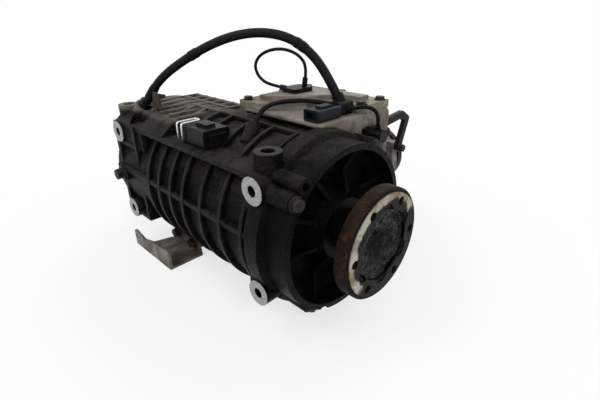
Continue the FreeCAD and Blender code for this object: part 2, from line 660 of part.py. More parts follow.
def pinion_carrier():
    """Pale casting behind the case, with the nose round the pinion shaft."""
    main = soft_block(PAD_X0, PAD_X1, PAD_Y, CARRIER_BACK, -PAD_Z, CARRIER_TOP, 10, "X")
    square = block(PAD_X0, PAD_X1, PAD_Y, PAD_Y + 20, -PAD_Z, CARRIER_TOP)
    saddle = block(SADDLE_X0, COVER_X1, SADDLE_FRONT, PAD_Y + 5, 40, CARRIER_TOP - 3)
    saddle = saddle.makeChamfer(3.0, [edge for edge in saddle.Edges if is_top_front(edge)])
    shelf = block(COVER_X0, COVER_X1, SADDLE_BACK, PAD_Y + 5, 70, CARRIER_TOP)
    nose = turned([
        (CARRIER_BACK - 4, 0), (CARRIER_BACK - 4, NOSE_R + 12), (CARRIER_BACK + 6, NOSE_R + 4),
        (CARRIER_BACK + 18, NOSE_R - 2), (NOSE_END - 14, NOSE_R - 6), (NOSE_END - 12, NOSE_R),
        (NOSE_END, NOSE_R), (NOSE_END, 0),
    ], "Y", CENTRE_X, 0.0)
    solids = [main, square, saddle, shelf, nose]
    for angle in range(45, 360, 90):
        rib = plate("Z", [(NOSE_R - 10, CARRIER_BACK - 2), (NOSE_R + 12, CARRIER_BACK - 2),
                          (NOSE_R - 1, NOSE_END - 12), (NOSE_R - 10, NOSE_END - 12)], -RIB_T / 2, RIB_T / 2)
        rib.rotate(Vector(0, 0, 0), AXES["Y"], angle)
        rib.translate(Vector(CENTRE_X, 0, 0))
        solids.append(rib)
    foot_y, foot_z = LOOP_ROUTE[-1]
    foot_x = LOOP_X - LOOP_T / 2 - SEAT
    solids.append(block(CENTRE_X + 20, foot_x, foot_y - 6, foot_y + 6, foot_z - 8, foot_z + 6))
    body = fuse(solids)
    cuts = [rod("X", RIB_TOP + SEAT, SADDLE_X0 - 60, COVER_X1 + 1).common(
        block(SADDLE_X0 - 60, COVER_X1 + 1, -RIB_TOP, PAD_Y, 0, RIB_TOP + 1))]
    cuts.append(block(SADDLE_X0 - 60, COVER_X1 + 1, 0, PAD_Y, 0, PAD_Z + SEAT))
    cuts.append(rod("X", BARREL_R + JOINT_RIM + SEAT, CASE_RIGHT - JOINT_T - SEAT, COVER_X1 + 1).common(
        block(CASE_RIGHT - 20, COVER_X1 + 1, -RIB_TOP, PAD_Y, 0, RIB_TOP + 2)))
    cuts.append(rod("X", BARREL_R + JOINT_RIM + SEAT, PAD_X1, COVER_X1 + 1))
    foot_hole = rod("X", SMALL_BOLT_R + RUN, foot_x - 16, foot_x + 1, foot_y, foot_z)
    cuts.append(foot_hole)
    cuts.append(rod("Y", SMALL_BOLT_R + RUN, CARRIER_BACK - 10, CARRIER_BACK + 1, *loop_head_bolt()))
    inset = PAD_RIM
    cavity = rod("X", CASE_BORE - 4, PAD_X0 + inset, PAD_X1 - inset)
    cuts.append(cavity)
    cuts.append(rod("Y", PINION_CUP_R + RUN, INNER_CUP_Y, INNER_CUP_Y + PINION_CUP_T, CENTRE_X, 0.0))
    cuts.append(rod("Y", PINION_CUP_R - 7, 40, NOSE_END + 1, CENTRE_X, 0.0))
    cuts.append(rod("Y", PINION_CUP_R + RUN, OUTER_CUP_Y, NOSE_END + 1, CENTRE_X, 0.0))
    for x, z in pad_places():
        cuts.append(rod("Y", BOLT_R + RUN, PAD_Y - 1, CARRIER_BACK + 1, x, z))
    for x, y in cover_places():
        cuts.append(rod("Z", SMALL_BOLT_R + RUN, CARRIER_TOP - 10, CARRIER_TOP + 1, x, y))
    return body.cut(cuts)


def loop_head_bolt():
    """X and Z of the bolt through the bracket's upper foot."""
    return LOOP_X - 11, LOOP_ROUTE[0][1]


def is_top_front(edge):
    middle = edge.CenterOfMass
    return abs(middle.y - SADDLE_FRONT) < 0.01 and abs(middle.z - CARRIER_TOP + 3) < 0.01


def cover_outline(inset):
    """Plan of the stepped cover: its front edge slants back towards the right."""
    x0, x1 = COVER_X0 + inset, COVER_X1 - inset
    front, back = SADDLE_BACK + inset, CARRIER_BACK - 6 - inset
    shoulder = COVER_SHOULDER_Y + inset
    return [(x0, front), (x0 + 30 - inset, front), (x0 + 62 - inset, front + 34), (x1 - 22, shoulder),
            (x1, shoulder),
            (x1, back), (x0, back)]


def cover_places():
    inset = 7.0
    x0, x1 = COVER_X0 + inset, COVER_X1 - inset
    back = CARRIER_BACK - 6 - inset
    return [(x0, SADDLE_BACK + inset), (x0, back - 45), (x0, back), ((x0 + x1) / 2, back), (x1, back),
            (x1, back - 34)]


def stepped_cover():
    low_top = CARRIER_TOP + COVER_STEP
    lower = plate("Z", cover_outline(0.0), CARRIER_TOP, low_top)
    upper = plate("Z", cover_outline(16.0), low_top - 1, low_top + COVER_TOP_STEP)
    solids = [lower, upper]
    for x, y in cover_places():
        solids.append(rod("Z", 8.0, CARRIER_TOP, low_top, x, y))
    body = fuse(solids)
    cuts = []
    for x, y in cover_places():
        cuts.append(rod("Z", SMALL_BOLT_R + RUN, CARRIER_TOP - 1, low_top + 1, x, y))
        cuts.append(rod("Z", SMALL_HEAD_R * 1.25 + SEAT, low_top - COVER_BOLT_SINK, COVER_Z + 1, x, y))
    return body.cut(cuts)


# Brackets, connectors and fittings outside

def support_bracket():
    """Bent sheet bracket under the case, with a lip along its front edge."""
    x0, x1 = BRACKET_X0, BRACKET_X1
    floor = plate("Z", [(x0, BRACKET_FRONT), (x1, BRACKET_FRONT), (x1, BRACKET_BACK), (x1 - 66, BRACKET_BACK),
                        (x1 - 76, BRACKET_FRONT + 12), (x0, BRACKET_FRONT + 6)],
                  BRACKET_FLOOR, BRACKET_FLOOR + BRACKET_T)
    lip = plate("Y", [(x0, BRACKET_FLOOR), (x1, BRACKET_FLOOR), (x1, BRACKET_LIP), (x1 - 40, BRACKET_LIP - 3),
                      (x0 + 26, BRACKET_LIP - 10), (x0 + 3, BRACKET_LIP - 4), (x0, BRACKET_LIP - 5)],
                BRACKET_FRONT, BRACKET_FRONT + BRACKET_T)
    (bolt0, z), (bolt1, z) = bracket_places()
    upright = plate("Y", [(x1 - 64, BRACKET_FLOOR), (x1, BRACKET_FLOOR), (bolt1 + 10, z + 9),
                          (bolt0 - 10, z + 9)],
                    BRACKET_BACK - BRACKET_T, BRACKET_BACK)
    holes = [rod("Y", BOLT_R + RUN, BRACKET_BACK - 9, BRACKET_BACK + 1, x, z) for x in (bolt0, bolt1)]
    return fuse([floor, lip, upright]).cut(holes)


def loop_bracket():
    """Flat bar bent into an open loop beside the nose."""
    x0, x1 = LOOP_X - LOOP_T / 2, LOOP_X + LOOP_T / 2
    solids = []
    for (ya, za), (yb, zb) in zip(LOOP_ROUTE, LOOP_ROUTE[1:]):
        length = math.hypot(yb - ya, zb - za)
        bar = block(x0, x1, 0, length, -LOOP_W / 2, LOOP_W / 2)
        bar.rotate(Vector(0, 0, 0), AXES["X"], math.degrees(math.atan2(zb - za, yb - ya)))
        bar.translate(Vector(0, ya, za))
        solids.append(bar)
    for y, z in LOOP_ROUTE:
        solids.append(rod("X", LOOP_W / 2, x0, x1, y, z))
    head_x, head_z = loop_head_bolt()
    foot = CARRIER_BACK + SEAT
    solids.append(soft_block(head_x - 7, x1, foot, foot + LOOP_FOOT_T, head_z - 7, head_z + 7, 1.5, "Y"))
    body = fuse(solids)
    holes = [rod("Y", SMALL_BOLT_R + RUN, foot - 1, foot + LOOP_FOOT_T + 1, head_x, head_z)]
    holes.append(rod("X", SMALL_BOLT_R + RUN, x0 - 1, x1 + 1, *LOOP_ROUTE[-1]))
    return body.cut(holes)


def fill_plug():
    """Hex plug with a collar in the front wall."""
    thread = rod("Y", PLUG_R - 1.5, PLUG_SEAT, PLUG_SEAT + 12, PLUG_X, PLUG_Z)
    collar = rod("Y", PLUG_R + 2, PLUG_SEAT - 2, PLUG_SEAT, PLUG_X, PLUG_Z)
    return fuse([thread, collar, hexagon("Y", PLUG_R, PLUG_SEAT - 9, PLUG_SEAT, PLUG_X, PLUG_Z)])


def stub(route_end, toward, radius, length):
    """Short sleeve that a cord's end enters, along the cord's own line."""
    base = Vector(*route_end)
    axis = (base - Vector(*toward)).normalize()
    return Part.makeCylinder(radius, length, base, axis)


def front_connector():
    """Flat connector on the front rail, with an open collar and a latch."""
    x0, x1 = CONNECTOR_X - CONNECTOR_L, CONNECTOR_X
    front, back = FRONT_Y + 11, FRONT_Y + 42
    base, top = FRONT_TOP + SEAT, FRONT_TOP + CONNECTOR_H
    body = soft_block(x0, x1, front, back, base, top, 2.5, "X")
    collar = soft_block(x0 - 9, x0 + 1, front + 4, back - 4, FRONT_TOP + 2, top - 3, 3.0, "X")
    latch = block(x0 + 12, x0 + 30, front + 10, back - 10, top - 1, top + 3)
    key = block(x1 - 0.5, x1 + 5, front + 6, back - 6, FRONT_TOP + 3, top - 4)
    mouth = soft_block(x0 - 10, x0 - 1, front + 7, back - 7, FRONT_TOP + 5, top - 6, 2.0, "X")
    core = block(x0 - 7, x0, front + 11, back - 11, FRONT_TOP + 7, top - 9)
    solid = fuse([body, collar, latch, key]).cut(mouth)
    return fuse([solid, core]).cut(rod("X", RIB_TOP + SEAT, x0 - 18, x1 + 13))


def connector_clip():
    """Spring wire round the connector's collar."""
    wire = CLIP_WIRE_R
    x0, x1 = CONNECTOR_X - CONNECTOR_L - 4, CONNECTOR_X - CONNECTOR_L + 4
    front, back = FRONT_Y + 9, FRONT_Y + 31
    low, high = FRONT_TOP + 4, FRONT_TOP + CONNECTOR_H + 2
    solids = []
    for x in (x0, x1):
        solids.append(rod("Z", wire, low, high, x, front))
        solids.append(rod("Y", wire, front, back, x, high))
        solids.append(Part.makeSphere(wire, Vector(x, front, high)))
    solids.append(rod("X", wire, x0, x1, back, high))
    solids.append(rod("X", wire, x0, x1, front, low))
    return fuse(solids)


def harness_clip():
    """Bent sheet tab that guides the harness beside its gland."""
    foot_z = DECK_Z + DECK_RIB_H
    foot = block(-306, -284, -50, -38, foot_z, foot_z + 2)
    tab = plate("Y", [(-303, foot_z), (-284, foot_z), (-287, foot_z + 18), (-298, foot_z + 20),
                      (-301, foot_z + 13)],
                -50, -48)
    fold = plate("X", [(-50, foot_z + 11), (-50, foot_z + 19), (-40, foot_z + 16),
                       (-40, foot_z + 13)], -289, -287)
    return fuse([foot, tab, fold])


def rear_connector():
    x0, x1 = REAR_CONNECTOR_X - REAR_CONNECTOR_W / 2, REAR_CONNECTOR_X + REAR_CONNECTOR_W / 2
    top = CARRIER_TOP + REAR_CONNECTOR_H
    body = soft_block(x0, x1, 10, 44, CARRIER_TOP, top, 2.5, "Y")
    mouth = block(x0 + 3, x1 - 3, 9, 16, CARRIER_TOP + 2.5, top - 2.5)
    latch = block(x0 + 6, x1 - 6, 20, 36, top - 1, top + 2)
    return fuse([body.cut(mouth), latch])


def branch_boot():
    """Moulded boot where the harness meets its two leads."""
    x0, x1 = REAR_CONNECTOR_X - BOOT_W / 2, REAR_CONNECTOR_X + BOOT_W / 2
    solids = [soft_block(x0, x1, 44, 66, CARRIER_TOP, CARRIER_TOP + BOOT_H, 4.0, "Y")]
    solids.append(stub(HARNESS_ROUTE[-1], HARNESS_ROUTE[-2], HARNESS_R + 1.5, 12))
    solids.append(stub(LEFT_LEAD_ROUTE[-1], LEFT_LEAD_ROUTE[-2], LEAD_R + 1.2, 6))
    solids.append(stub(RIGHT_LEAD_ROUTE[0], RIGHT_LEAD_ROUTE[1], SENSOR_LEAD_R + 1.2, 6))
    return fuse(solids)


def speed_sensor():
    x, y, z = RIGHT_LEAD_ROUTE[-1]
    low = z - 10
    solids = [rod("X", 7.5, PAD_X1, x + 8, y, low),
              block(PAD_X1, PAD_X1 + 4, y - 9, y + 18, low - 6, low + 6)]
    solids.append(stub(RIGHT_LEAD_ROUTE[-1], RIGHT_LEAD_ROUTE[-2], SENSOR_LEAD_R + 1.5, 9))
    return fuse(solids)


def vent_fitting():
    base = soft_block(-184, -160, 50, 80, COVER_Z, COVER_Z + 5, 4.0, "Z")
    solids = [base]
    solids.append(stub(VENT_ROUTE[0], VENT_ROUTE[1], VENT_R + 1.3, 7))
    solids.append(stub(VENT_ROUTE[-1], VENT_ROUTE[-2], VENT_R + 1.3, 12))
    return fuse(solids).cut(block(-230, -120, 30, 100, COVER_Z - 20, COVER_Z))


# Bearings and seals

def taper_bearing(axis, inner, outer, right, left, centre=(0.0, 0.0)):
    """Cup, then cone with rollers. The rollers are larger towards the first end."""
    mid = (inner + outer) / 2
    roller = (outer - inner) * 0.16
    first, second = centre
    inset = 1.5 if left > right else -1.5
    cup = turned([(right, outer), (left, outer), (left, mid + roller + RUN + 1),
                  (right, mid + roller + RUN + 2.5)],
                 axis, first, second)
    cone = turned([(right, inner), (left, inner), (left, mid - roller - RUN - 1),
                   (right, mid - roller - RUN + 0.5)],
                  axis, first, second)
    rollers = []
    for a, b in ring_of(ROLLERS, mid + 0.7):
        rollers.append(rod(axis, roller, right + inset, left - inset, first + a, second + b))
    return cup, group([cone] + rollers)


def ball_bearing(inner, outer, right, left):
    mid = (inner + outer) / 2
    ball = (outer - inner) * 0.29
    groove = Part.makeTorus(mid, ball + RUN, Vector((right + left) / 2, 0, 0), AXES["X"])
    outer_ring = pipe("X", outer, mid + ball * 0.45, right, left).cut(groove)
    inner_ring = pipe("X", mid - ball * 0.45, inner, right, left).cut(groove)
    balls = []
    for y, z in ring_of(BALLS, mid):
        balls.append(Part.makeSphere(ball, Vector((right + left) / 2, y, z)))
    return group([outer_ring] + balls), inner_ring


def lip_seal(axis, inner, outer, start, end, centre=(0.0, 0.0)):
    """Pressed ring with a lip that leans on the shaft."""
    middle = (start + end) / 2
    points = [(start, outer), (end, outer), (end, inner + 3), (middle, inner + 3), (middle, inner),
              (start, inner + 1)]
    return turned(points, axis, *centre)


# Turning pieces

def output_shaft(face, side, hub_end, inner_end):
    """Flange, cup and shaft in one forging; side is the way that the face looks."""
    seat = hub_end - side * SEAL_T
    neck = CENTRE_X + side * (SIDE_BACK + FREE)
    points = [
        (face - side * CUP_DEPTH, 0), (face - side * CUP_DEPTH, CUP_R - 8),
        (face - side * (CUP_DEPTH - 5), CUP_R),
        (face, CUP_R + 1), (face, FLANGE_R - 1.5), (face - side * 1.5, FLANGE_R),
        (face - side * FLANGE_T, FLANGE_R),
        (face - side * (FLANGE_T + 1), FLANGE_R - 8), (face - side * (CUP_DEPTH + 5), CUP_R + 3),
        (face - side * (CUP_DEPTH + 13), CUP_R - 9), (hub_end + side * 4, SLEEVE_R + 3),
        (hub_end + side * 1.5, SLEEVE_R),
        (seat, SLEEVE_R), (seat, SHAFT_R), (neck, SHAFT_R), (neck, SPLINE_R), (inner_end, SPLINE_R),
        (inner_end, 0),
    ]
    solid = turned(points)
    holes = []
    for y, z in ring_of(FLANGE_HOLES, FLANGE_PCD / 2, FLANGE_HOLE_START):
        holes.append(rod("X", FLANGE_HOLE_R, face + side, face - side * (FLANGE_T + 12), y, z))
    return solid.cut(holes)


def flange_gasket():
    """Thin plate on the flange's face with a scallop cut between the bolt holes."""
    disc = pipe("X", FLANGE_R - 4, CUP_R - 1, 0, GASKET_T)
    cuts = []
    for y, z in ring_of(FLANGE_HOLES, FLANGE_PCD / 2, FLANGE_HOLE_START):
        cuts.append(rod("X", FLANGE_HOLE_R, -1, GASKET_T + 1, y, z))
    for y, z in ring_of(FLANGE_HOLES, CUP_R - 4, FLANGE_HOLE_START + 180.0 / FLANGE_HOLES):
        cuts.append(rod("X", 9.5, -1, GASKET_T + 1, y, z))
    return disc.cut(cuts)


def joint_grease():
    """Grease left in the flange's cup: a crowned plug."""
    depth = CUP_DEPTH - SEAT
    return turned([(-depth, 0), (-depth, CUP_R - 9), (-CUP_DEPTH + 5, CUP_R - 1.2), (-4, CUP_R - 0.8),
                   (-2, CUP_R - 8),
                   (0.8, CUP_R - 20), (1.2, 0)])


def differential_case():
    """Case with trunnions, ring gear flange and two windows."""
    left_end = DRUM_RIGHT + 5
    points = [
        (left_end, SHAFT_R + FREE), (left_end, TRUNNION_R), (DIFF_LEFT, TRUNNION_R),
        (DIFF_LEFT, TRUNNION_R + 7),
        (DIFF_LEFT + 8, DIFF_R - 4), (DIFF_LEFT + 14, DIFF_R), (RING_BACK, DIFF_R),
        (RING_BACK, RING_FLANGE_R),
        (RING_BACK + 8, RING_FLANGE_R), (RING_BACK + 8, RING_BOLT_CIRCLE - 6.5),
        (RING_BACK + 13, DIFF_R - 5), (CARRIER_END - 4, TRUNNION_R + 8),
        (CARRIER_END, TRUNNION_R + 7), (CARRIER_END, TRUNNION_R), (CARRIER_END + CUP_T, TRUNNION_R),
        (CARRIER_END + CUP_T, SHAFT_R + FREE),
    ]
    side_back = SIDE_BACK + FREE
    cuts = [rod("X", SIDE_R + 3.5, CENTRE_X - side_back, CENTRE_X + side_back)]
    cuts.append(rod("Z", SPIDER_R + 3.5, -SPIDER_BACK - FREE / 2, SPIDER_BACK + FREE / 2, CENTRE_X, 0))
    half = DIFF_WINDOW
    cuts.append(soft_block(CENTRE_X - half, CENTRE_X + half, -DIFF_R - 1, DIFF_R + 1, -half, half, 8, "Y"))
    cuts.append(rod("Z", CROSS_PIN_R + RUN, -DIFF_R - 1, DIFF_R + 1, CENTRE_X, 0))
    for y, z in ring_of(RING_BOLTS, RING_BOLT_CIRCLE):
        cuts.append(rod("X", SMALL_BOLT_R + RUN, RING_BACK - 1, RING_BACK + 9, y, z))
    return turned(points).cut(cuts)


def ring_gear():
    gear = bevel_gear(RING_TEETH, PINION_TEETH, RING_R, RING_FACE, 0.5, 1.15, DIFF_R + RUN, 8.0, 90.0)
    gear = facing(gear, AXES["X"], Vector(CENTRE_X, 0, 0))
    trim = rod("X", RING_R + 12, RING_BACK, RING_BACK + 20)
    holes = [rod("X", SMALL_BOLT_R + RUN, RING_BACK - 6.5, RING_BACK + 1, y, z)
             for y, z in ring_of(RING_BOLTS, RING_BOLT_CIRCLE)]
    return gear.cut([trim] + holes)


def drive_pinion():
    head = bevel_gear(PINION_TEETH, RING_TEETH, PINION_R, RING_FACE, 0.85, 0.8, 4.0, 4.0,
                      180.0 / PINION_TEETH)
    head = facing(head, AXES["Y"], Vector(CENTRE_X, 0, 0))
    shoulder = INNER_CUP_Y
    shaft = turned([(RING_R * 0.78, 0), (RING_R * 0.78, 8), (RING_R + 3, 12),
                    (shoulder - 4, PINION_SHAFT_R + 4),
                    (shoulder, PINION_SHAFT_R + 4), (shoulder, PINION_SHAFT_R),
                    (INPUT_FACE - 5, PINION_SHAFT_R),
                    (INPUT_FACE - 5, 9), (INPUT_FACE + 1, 9), (INPUT_FACE + 1, 0)], "Y", CENTRE_X, 0.0)
    return fuse([head, shaft])


def side_gear(side):
    gear = bevel_gear(SIDE_TEETH, SPIDER_TEETH, SIDE_R, SIDE_FACE, 0.7, 0.95, SPLINE_R + RUN, 4.0, 0.0)
    return facing(gear, AXES["X"] * side, Vector(CENTRE_X, 0, 0)).cut(
        rod("X", SIDE_R + 9, CENTRE_X + side * SIDE_BACK, CENTRE_X + side * (SIDE_BACK + 20)))


def spider_gear(side):
    gear = bevel_gear(SPIDER_TEETH, SIDE_TEETH, SPIDER_R, SIDE_FACE, 0.7, 0.95, CROSS_PIN_R + RUN, 3.0,
                      SPIDER_PHASE)
    return facing(gear, AXES["Z"] * side, Vector(CENTRE_X, 0, 0)).cut(
        rod("Z", SPIDER_R + 9, side * SPIDER_BACK, side * (SPIDER_BACK + 20), CENTRE_X, 0))


def input_flange():
    hub = INPUT_FACE - INPUT_T
    points = [(NOSE_END - SEAL_T, PINION_SHAFT_R + RUN), (NOSE_END - SEAL_T, PINION_SHAFT_R + 6),
              (hub - 3, PINION_SHAFT_R + 6), (hub, PINION_SHAFT_R + 9), (hub, INPUT_R), (INPUT_FACE, INPUT_R),
              (INPUT_FACE, PINION_SHAFT_R + 6), (INPUT_FACE - 5, PINION_SHAFT_R + 6),
              (INPUT_FACE - 5, PINION_SHAFT_R + RUN)]
    holes = [rod("Y", INPUT_HOLE_R, hub - 1, INPUT_FACE + 1, CENTRE_X + a, b)
             for a, b in ring_of(INPUT_HOLES, INPUT_PCD / 2, 45.0)]
    return turned(points, "Y", CENTRE_X, 0.0).cut(holes)


def pinion_nut():
    nut = hexagon("Y", 15.0, INPUT_FACE - 5, INPUT_FACE + 2, CENTRE_X, 0.0)
    return nut.cut(rod("Y", 9 + RUN, INPUT_FACE - 6, INPUT_FACE + 3, CENTRE_X, 0.0))


# Clutch

def clutch_drum():
    inner = DRUM_R - DRUM_WALL
    end = DRUM_RIGHT - DRUM_END
    return turned([(DRUM_RIGHT + 4.5, TRUNNION_R + RUN), (DRUM_RIGHT + 4.5, TRUNNION_R + 5),
                   (DRUM_RIGHT, TRUNNION_R + 5), (DRUM_RIGHT, DRUM_R), (DRUM_LEFT, DRUM_R),
                   (DRUM_LEFT, inner),
                   (end, inner), (end, TRUNNION_R + RUN)])


def clutch_plates(offset, outer, inner):
    """Every second plate of the pack as a ring."""
    solids = []
    for index in range(PLATE_PAIRS):
        right = PACK_START - (2 * index + offset) * (PLATE_T + PLATE_GAP)
        solids.append(pipe("X", outer, inner, right - PLATE_T, right))
    return group(solids)


def clutch_hub():
    left = PACK_START - PACK_LENGTH
    return turned([(PACK_START, SHAFT_R + RUN), (PACK_START, SHAFT_R + 6), (PACK_START - 8, SHAFT_R + 6),
                   (PACK_START - 8, HUB_R - 5), (PACK_START, HUB_R - 5), (PACK_START, HUB_R), (left, HUB_R),
                   (left, HUB_R - 5), (PACK_START - 14, HUB_R - 5), (PACK_START - 14, SHAFT_R + 6),
                   (left, SHAFT_R + 6), (left, SHAFT_R + RUN)])


def pressure_ring():
    inner = DRUM_R - DRUM_WALL - SEAT
    right = PRESSURE_RIGHT
    return turned([(right, HUB_R + 3), (right, inner), (right - PRESSURE_T, inner),
                   (right - PRESSURE_T, HUB_R + 9),
                   (right - PRESSURE_T + 3, HUB_R + 3)])


def clutch_coil():
    """Wound coil in its steel cup, carried on the left cover's sleeve."""
    left = COIL_RIGHT - COIL_T
    cup = turned([(COIL_RIGHT, COIL_INNER + RUN), (COIL_RIGHT, COIL_INNER + 5), (left + 4, COIL_INNER + 5),
                  (left + 4, DRUM_R - 4), (COIL_RIGHT, DRUM_R - 4), (COIL_RIGHT, DRUM_R), (left, DRUM_R),
                  (left, COIL_INNER + RUN)])
    winding = pipe("X", DRUM_R - 4 - RUN, COIL_INNER + 5 + RUN, left + 4 + RUN, COIL_RIGHT - 2)
    return group([cup, winding])


# Fasteners

def bell_bolts():
    head = HEAD_R * 0.9
    y, z = around(BELL_BOLTS[LONG_BELL_BOLT], BELL_BOLT_CIRCLE)
    solids = [hex_bolt("X", LONG_BOSS_END - 22, LONG_BOSS_END, 1, y, z, BOLT_R, head)]
    for y, z, end in case_bolts():
        solids.append(hex_bolt("X", end, BOSS_END, 1, y, z, BOLT_R, head))
    return group(solids)


def carrier_bolts():
    return group([hex_bolt("Y", PAD_Y - 11, CARRIER_BACK, 1, x, z) for x, z in pad_places()])


def left_cover_bolts():
    outer = CASE_LEFT - COVER_T
    return group([hex_bolt("X", CASE_LEFT + 7, outer, -1, y, z, SMALL_BOLT_R, 3.4)
                  for y, z in ring_of(COVER_BOLTS, COVER_BOLT_CIRCLE, 22.5)])


def small_bolts():
    """Alike bolts of the stepped cover and the loop bracket."""
    places = [("Z", CARRIER_TOP + COVER_STEP - COVER_BOLT_SINK, x, y) for x, y in cover_places()]
    places.append(("Y", CARRIER_BACK + SEAT + LOOP_FOOT_T) + loop_head_bolt())
    places.append(("X", LOOP_X + LOOP_T / 2) + LOOP_ROUTE[-1])
    solids = []
    for axis, seat, first, second in places:
        solids.append(hex_bolt(axis, seat - SMALL_BOLT_L, seat, 1, first, second, SMALL_BOLT_R, SMALL_HEAD_R))
    return group(solids)


def bracket_bolts():
    seat = BRACKET_BACK - BRACKET_T
    return group([hex_bolt("Y", BRACKET_BACK + 12, seat, -1, x, z) for x, z in bracket_places()])


def ring_gear_bolts():
    seat = RING_BACK + 8
    return group([hex_bolt("X", RING_BACK - 5.5, seat, 1, y, z, SMALL_BOLT_R, 3.6)
                  for y, z in ring_of(RING_BOLTS, RING_BOLT_CIRCLE)])


save("ribbed_case", ribbed_case())
save("end_bell", end_bell())
save("left_cover", left_cover())
save("pinion_carrier", pinion_carrier())
save("stepped_cover", stepped_cover())
save("support_bracket", support_bracket())
save("loop_bracket", loop_bracket())
save("front_connector", front_connector())
save("connector_clip", connector_clip())
save("harness_clip", harness_clip())
save("fill_plug", fill_plug())
save("rear_connector", rear_connector())
save("branch_boot", branch_boot())
save("speed_sensor", speed_sensor())
save("vent_fitting", vent_fitting())
save("harness_gland", stub(HARNESS_ROUTE[0], HARNESS_ROUTE[1], GLAND_R, 20))
save("lead_grommet", stub(LEFT_LEAD_ROUTE[0], LEFT_LEAD_ROUTE[1], GROMMET_R, 6))
cord("main_harness", HARNESS_ROUTE, HARNESS_R)
cord("coil_lead", LEFT_LEAD_ROUTE, LEAD_R)
cord("sensor_lead", RIGHT_LEAD_ROUTE, SENSOR_LEAD_R)
cord("vent_hose", VENT_ROUTE, VENT_R)

save("right_output_shaft", output_shaft(0.0, 1, HUB_END, CENTRE_X + 9))
save("left_output_shaft", output_shaft(LEFT_FACE, -1, LEFT_HUB_END, CENTRE_X - 9))
save("flange_gasket", flange_gasket())
save("joint_grease", joint_grease())
save("differential_case", differential_case())
save("ring_gear", ring_gear())
save("drive_pinion", drive_pinion())
save("right_side_gear", side_gear(1))
save("left_side_gear", side_gear(-1))
save("upper_spider_gear", spider_gear(1))
save("lower_spider_gear", spider_gear(-1))
save("cross_pin", rod("Z", CROSS_PIN_R, -DIFF_R + 1, DIFF_R - 1, CENTRE_X, 0.0))
save("input_flange", input_flange())
save("pinion_nut", pinion_nut())

for name, right, left in (("right", CARRIER_END, CARRIER_END + CUP_T),
                          ("left", LEFT_WEB_RIGHT, LEFT_WEB_RIGHT - CUP_T)):
    cup, cone = taper_bearing("X", TRUNNION_R + RUN, CUP_OUTER_R, right, left)
    save(name + "_carrier_cup", cup)
    save(name + "_carrier_cone", cone)
pinion_cups, pinion_cones = [], []
for near, far in ((INNER_CUP_Y, INNER_CUP_Y + PINION_CUP_T), (OUTER_CUP_Y + PINION_CUP_T, OUTER_CUP_Y)):
    cup, cone = taper_bearing("Y", PINION_SHAFT_R + RUN, PINION_CUP_R, near, far, (CENTRE_X, 0.0))
    pinion_cups.append(cup)
    pinion_cones.append(cone)
save("pinion_bearing_cups", group(pinion_cups))
save("pinion_bearing_cones", group(pinion_cones))
right_bearing = HUB_END - SEAL_T
left_bearing = LEFT_HUB_END + SEAL_T
for name, start, end in (("right", right_bearing, right_bearing - BALL_T),
                         ("left", left_bearing, left_bearing + BALL_T)):
    outer_ring, inner_ring = ball_bearing(SHAFT_R + RUN, BALL_OUTER_R, max(start, end), min(start, end))
    save(name + "_output_bearing", outer_ring)
    save(name + "_output_race", inner_ring)
save("right_output_seal", lip_seal("X", SLEEVE_R + RUN, SEAL_R, right_bearing, HUB_END))
save("left_output_seal", lip_seal("X", SLEEVE_R + RUN, SEAL_R, left_bearing, LEFT_HUB_END))
save("pinion_seal",
     lip_seal("Y", PINION_SHAFT_R + 6 + RUN, PINION_CUP_R, NOSE_END - SEAL_T, NOSE_END, (CENTRE_X, 0.0)))

save("clutch_drum", clutch_drum())
save("steel_plates", clutch_plates(0, DRUM_R - DRUM_WALL - RUN, HUB_R + 4))
save("friction_plates", clutch_plates(1, DRUM_R - DRUM_WALL - 3, HUB_R + RUN))
save("clutch_hub", clutch_hub())
save("pressure_ring", pressure_ring())
save("clutch_coil", clutch_coil())

save("bell_bolts", bell_bolts())
save("carrier_bolts", carrier_bolts())
save("left_cover_bolts", left_cover_bolts())
save("small_bolts", small_bolts())
save("bracket_bolts", bracket_bolts())
save("ring_gear_bolts", ring_gear_bolts())
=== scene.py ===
import json
import math

import bpy
import numpy as np
from bpy.props import FloatProperty, FloatVectorProperty, PointerProperty
from mathutils import Matrix, Vector


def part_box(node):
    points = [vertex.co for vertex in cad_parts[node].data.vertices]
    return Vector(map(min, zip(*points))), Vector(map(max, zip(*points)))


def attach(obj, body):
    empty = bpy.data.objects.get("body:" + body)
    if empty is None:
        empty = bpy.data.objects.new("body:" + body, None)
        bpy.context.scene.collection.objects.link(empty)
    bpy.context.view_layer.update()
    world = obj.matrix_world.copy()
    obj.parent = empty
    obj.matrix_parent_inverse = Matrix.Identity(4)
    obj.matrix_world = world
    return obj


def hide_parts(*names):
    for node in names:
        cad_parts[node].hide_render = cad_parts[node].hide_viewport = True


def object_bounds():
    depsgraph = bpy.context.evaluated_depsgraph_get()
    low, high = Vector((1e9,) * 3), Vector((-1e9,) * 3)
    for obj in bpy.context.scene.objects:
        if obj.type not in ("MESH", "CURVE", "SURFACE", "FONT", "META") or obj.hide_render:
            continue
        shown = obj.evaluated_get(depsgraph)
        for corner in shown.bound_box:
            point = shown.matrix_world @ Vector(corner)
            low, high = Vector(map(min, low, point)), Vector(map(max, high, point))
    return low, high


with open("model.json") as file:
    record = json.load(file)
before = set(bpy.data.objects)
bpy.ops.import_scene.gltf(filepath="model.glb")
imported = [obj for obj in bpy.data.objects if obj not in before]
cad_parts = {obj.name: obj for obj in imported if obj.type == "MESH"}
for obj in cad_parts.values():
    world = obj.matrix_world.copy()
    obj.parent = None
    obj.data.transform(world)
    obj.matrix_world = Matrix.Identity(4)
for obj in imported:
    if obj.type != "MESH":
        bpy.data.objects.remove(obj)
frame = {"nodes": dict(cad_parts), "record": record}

CAD_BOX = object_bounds()

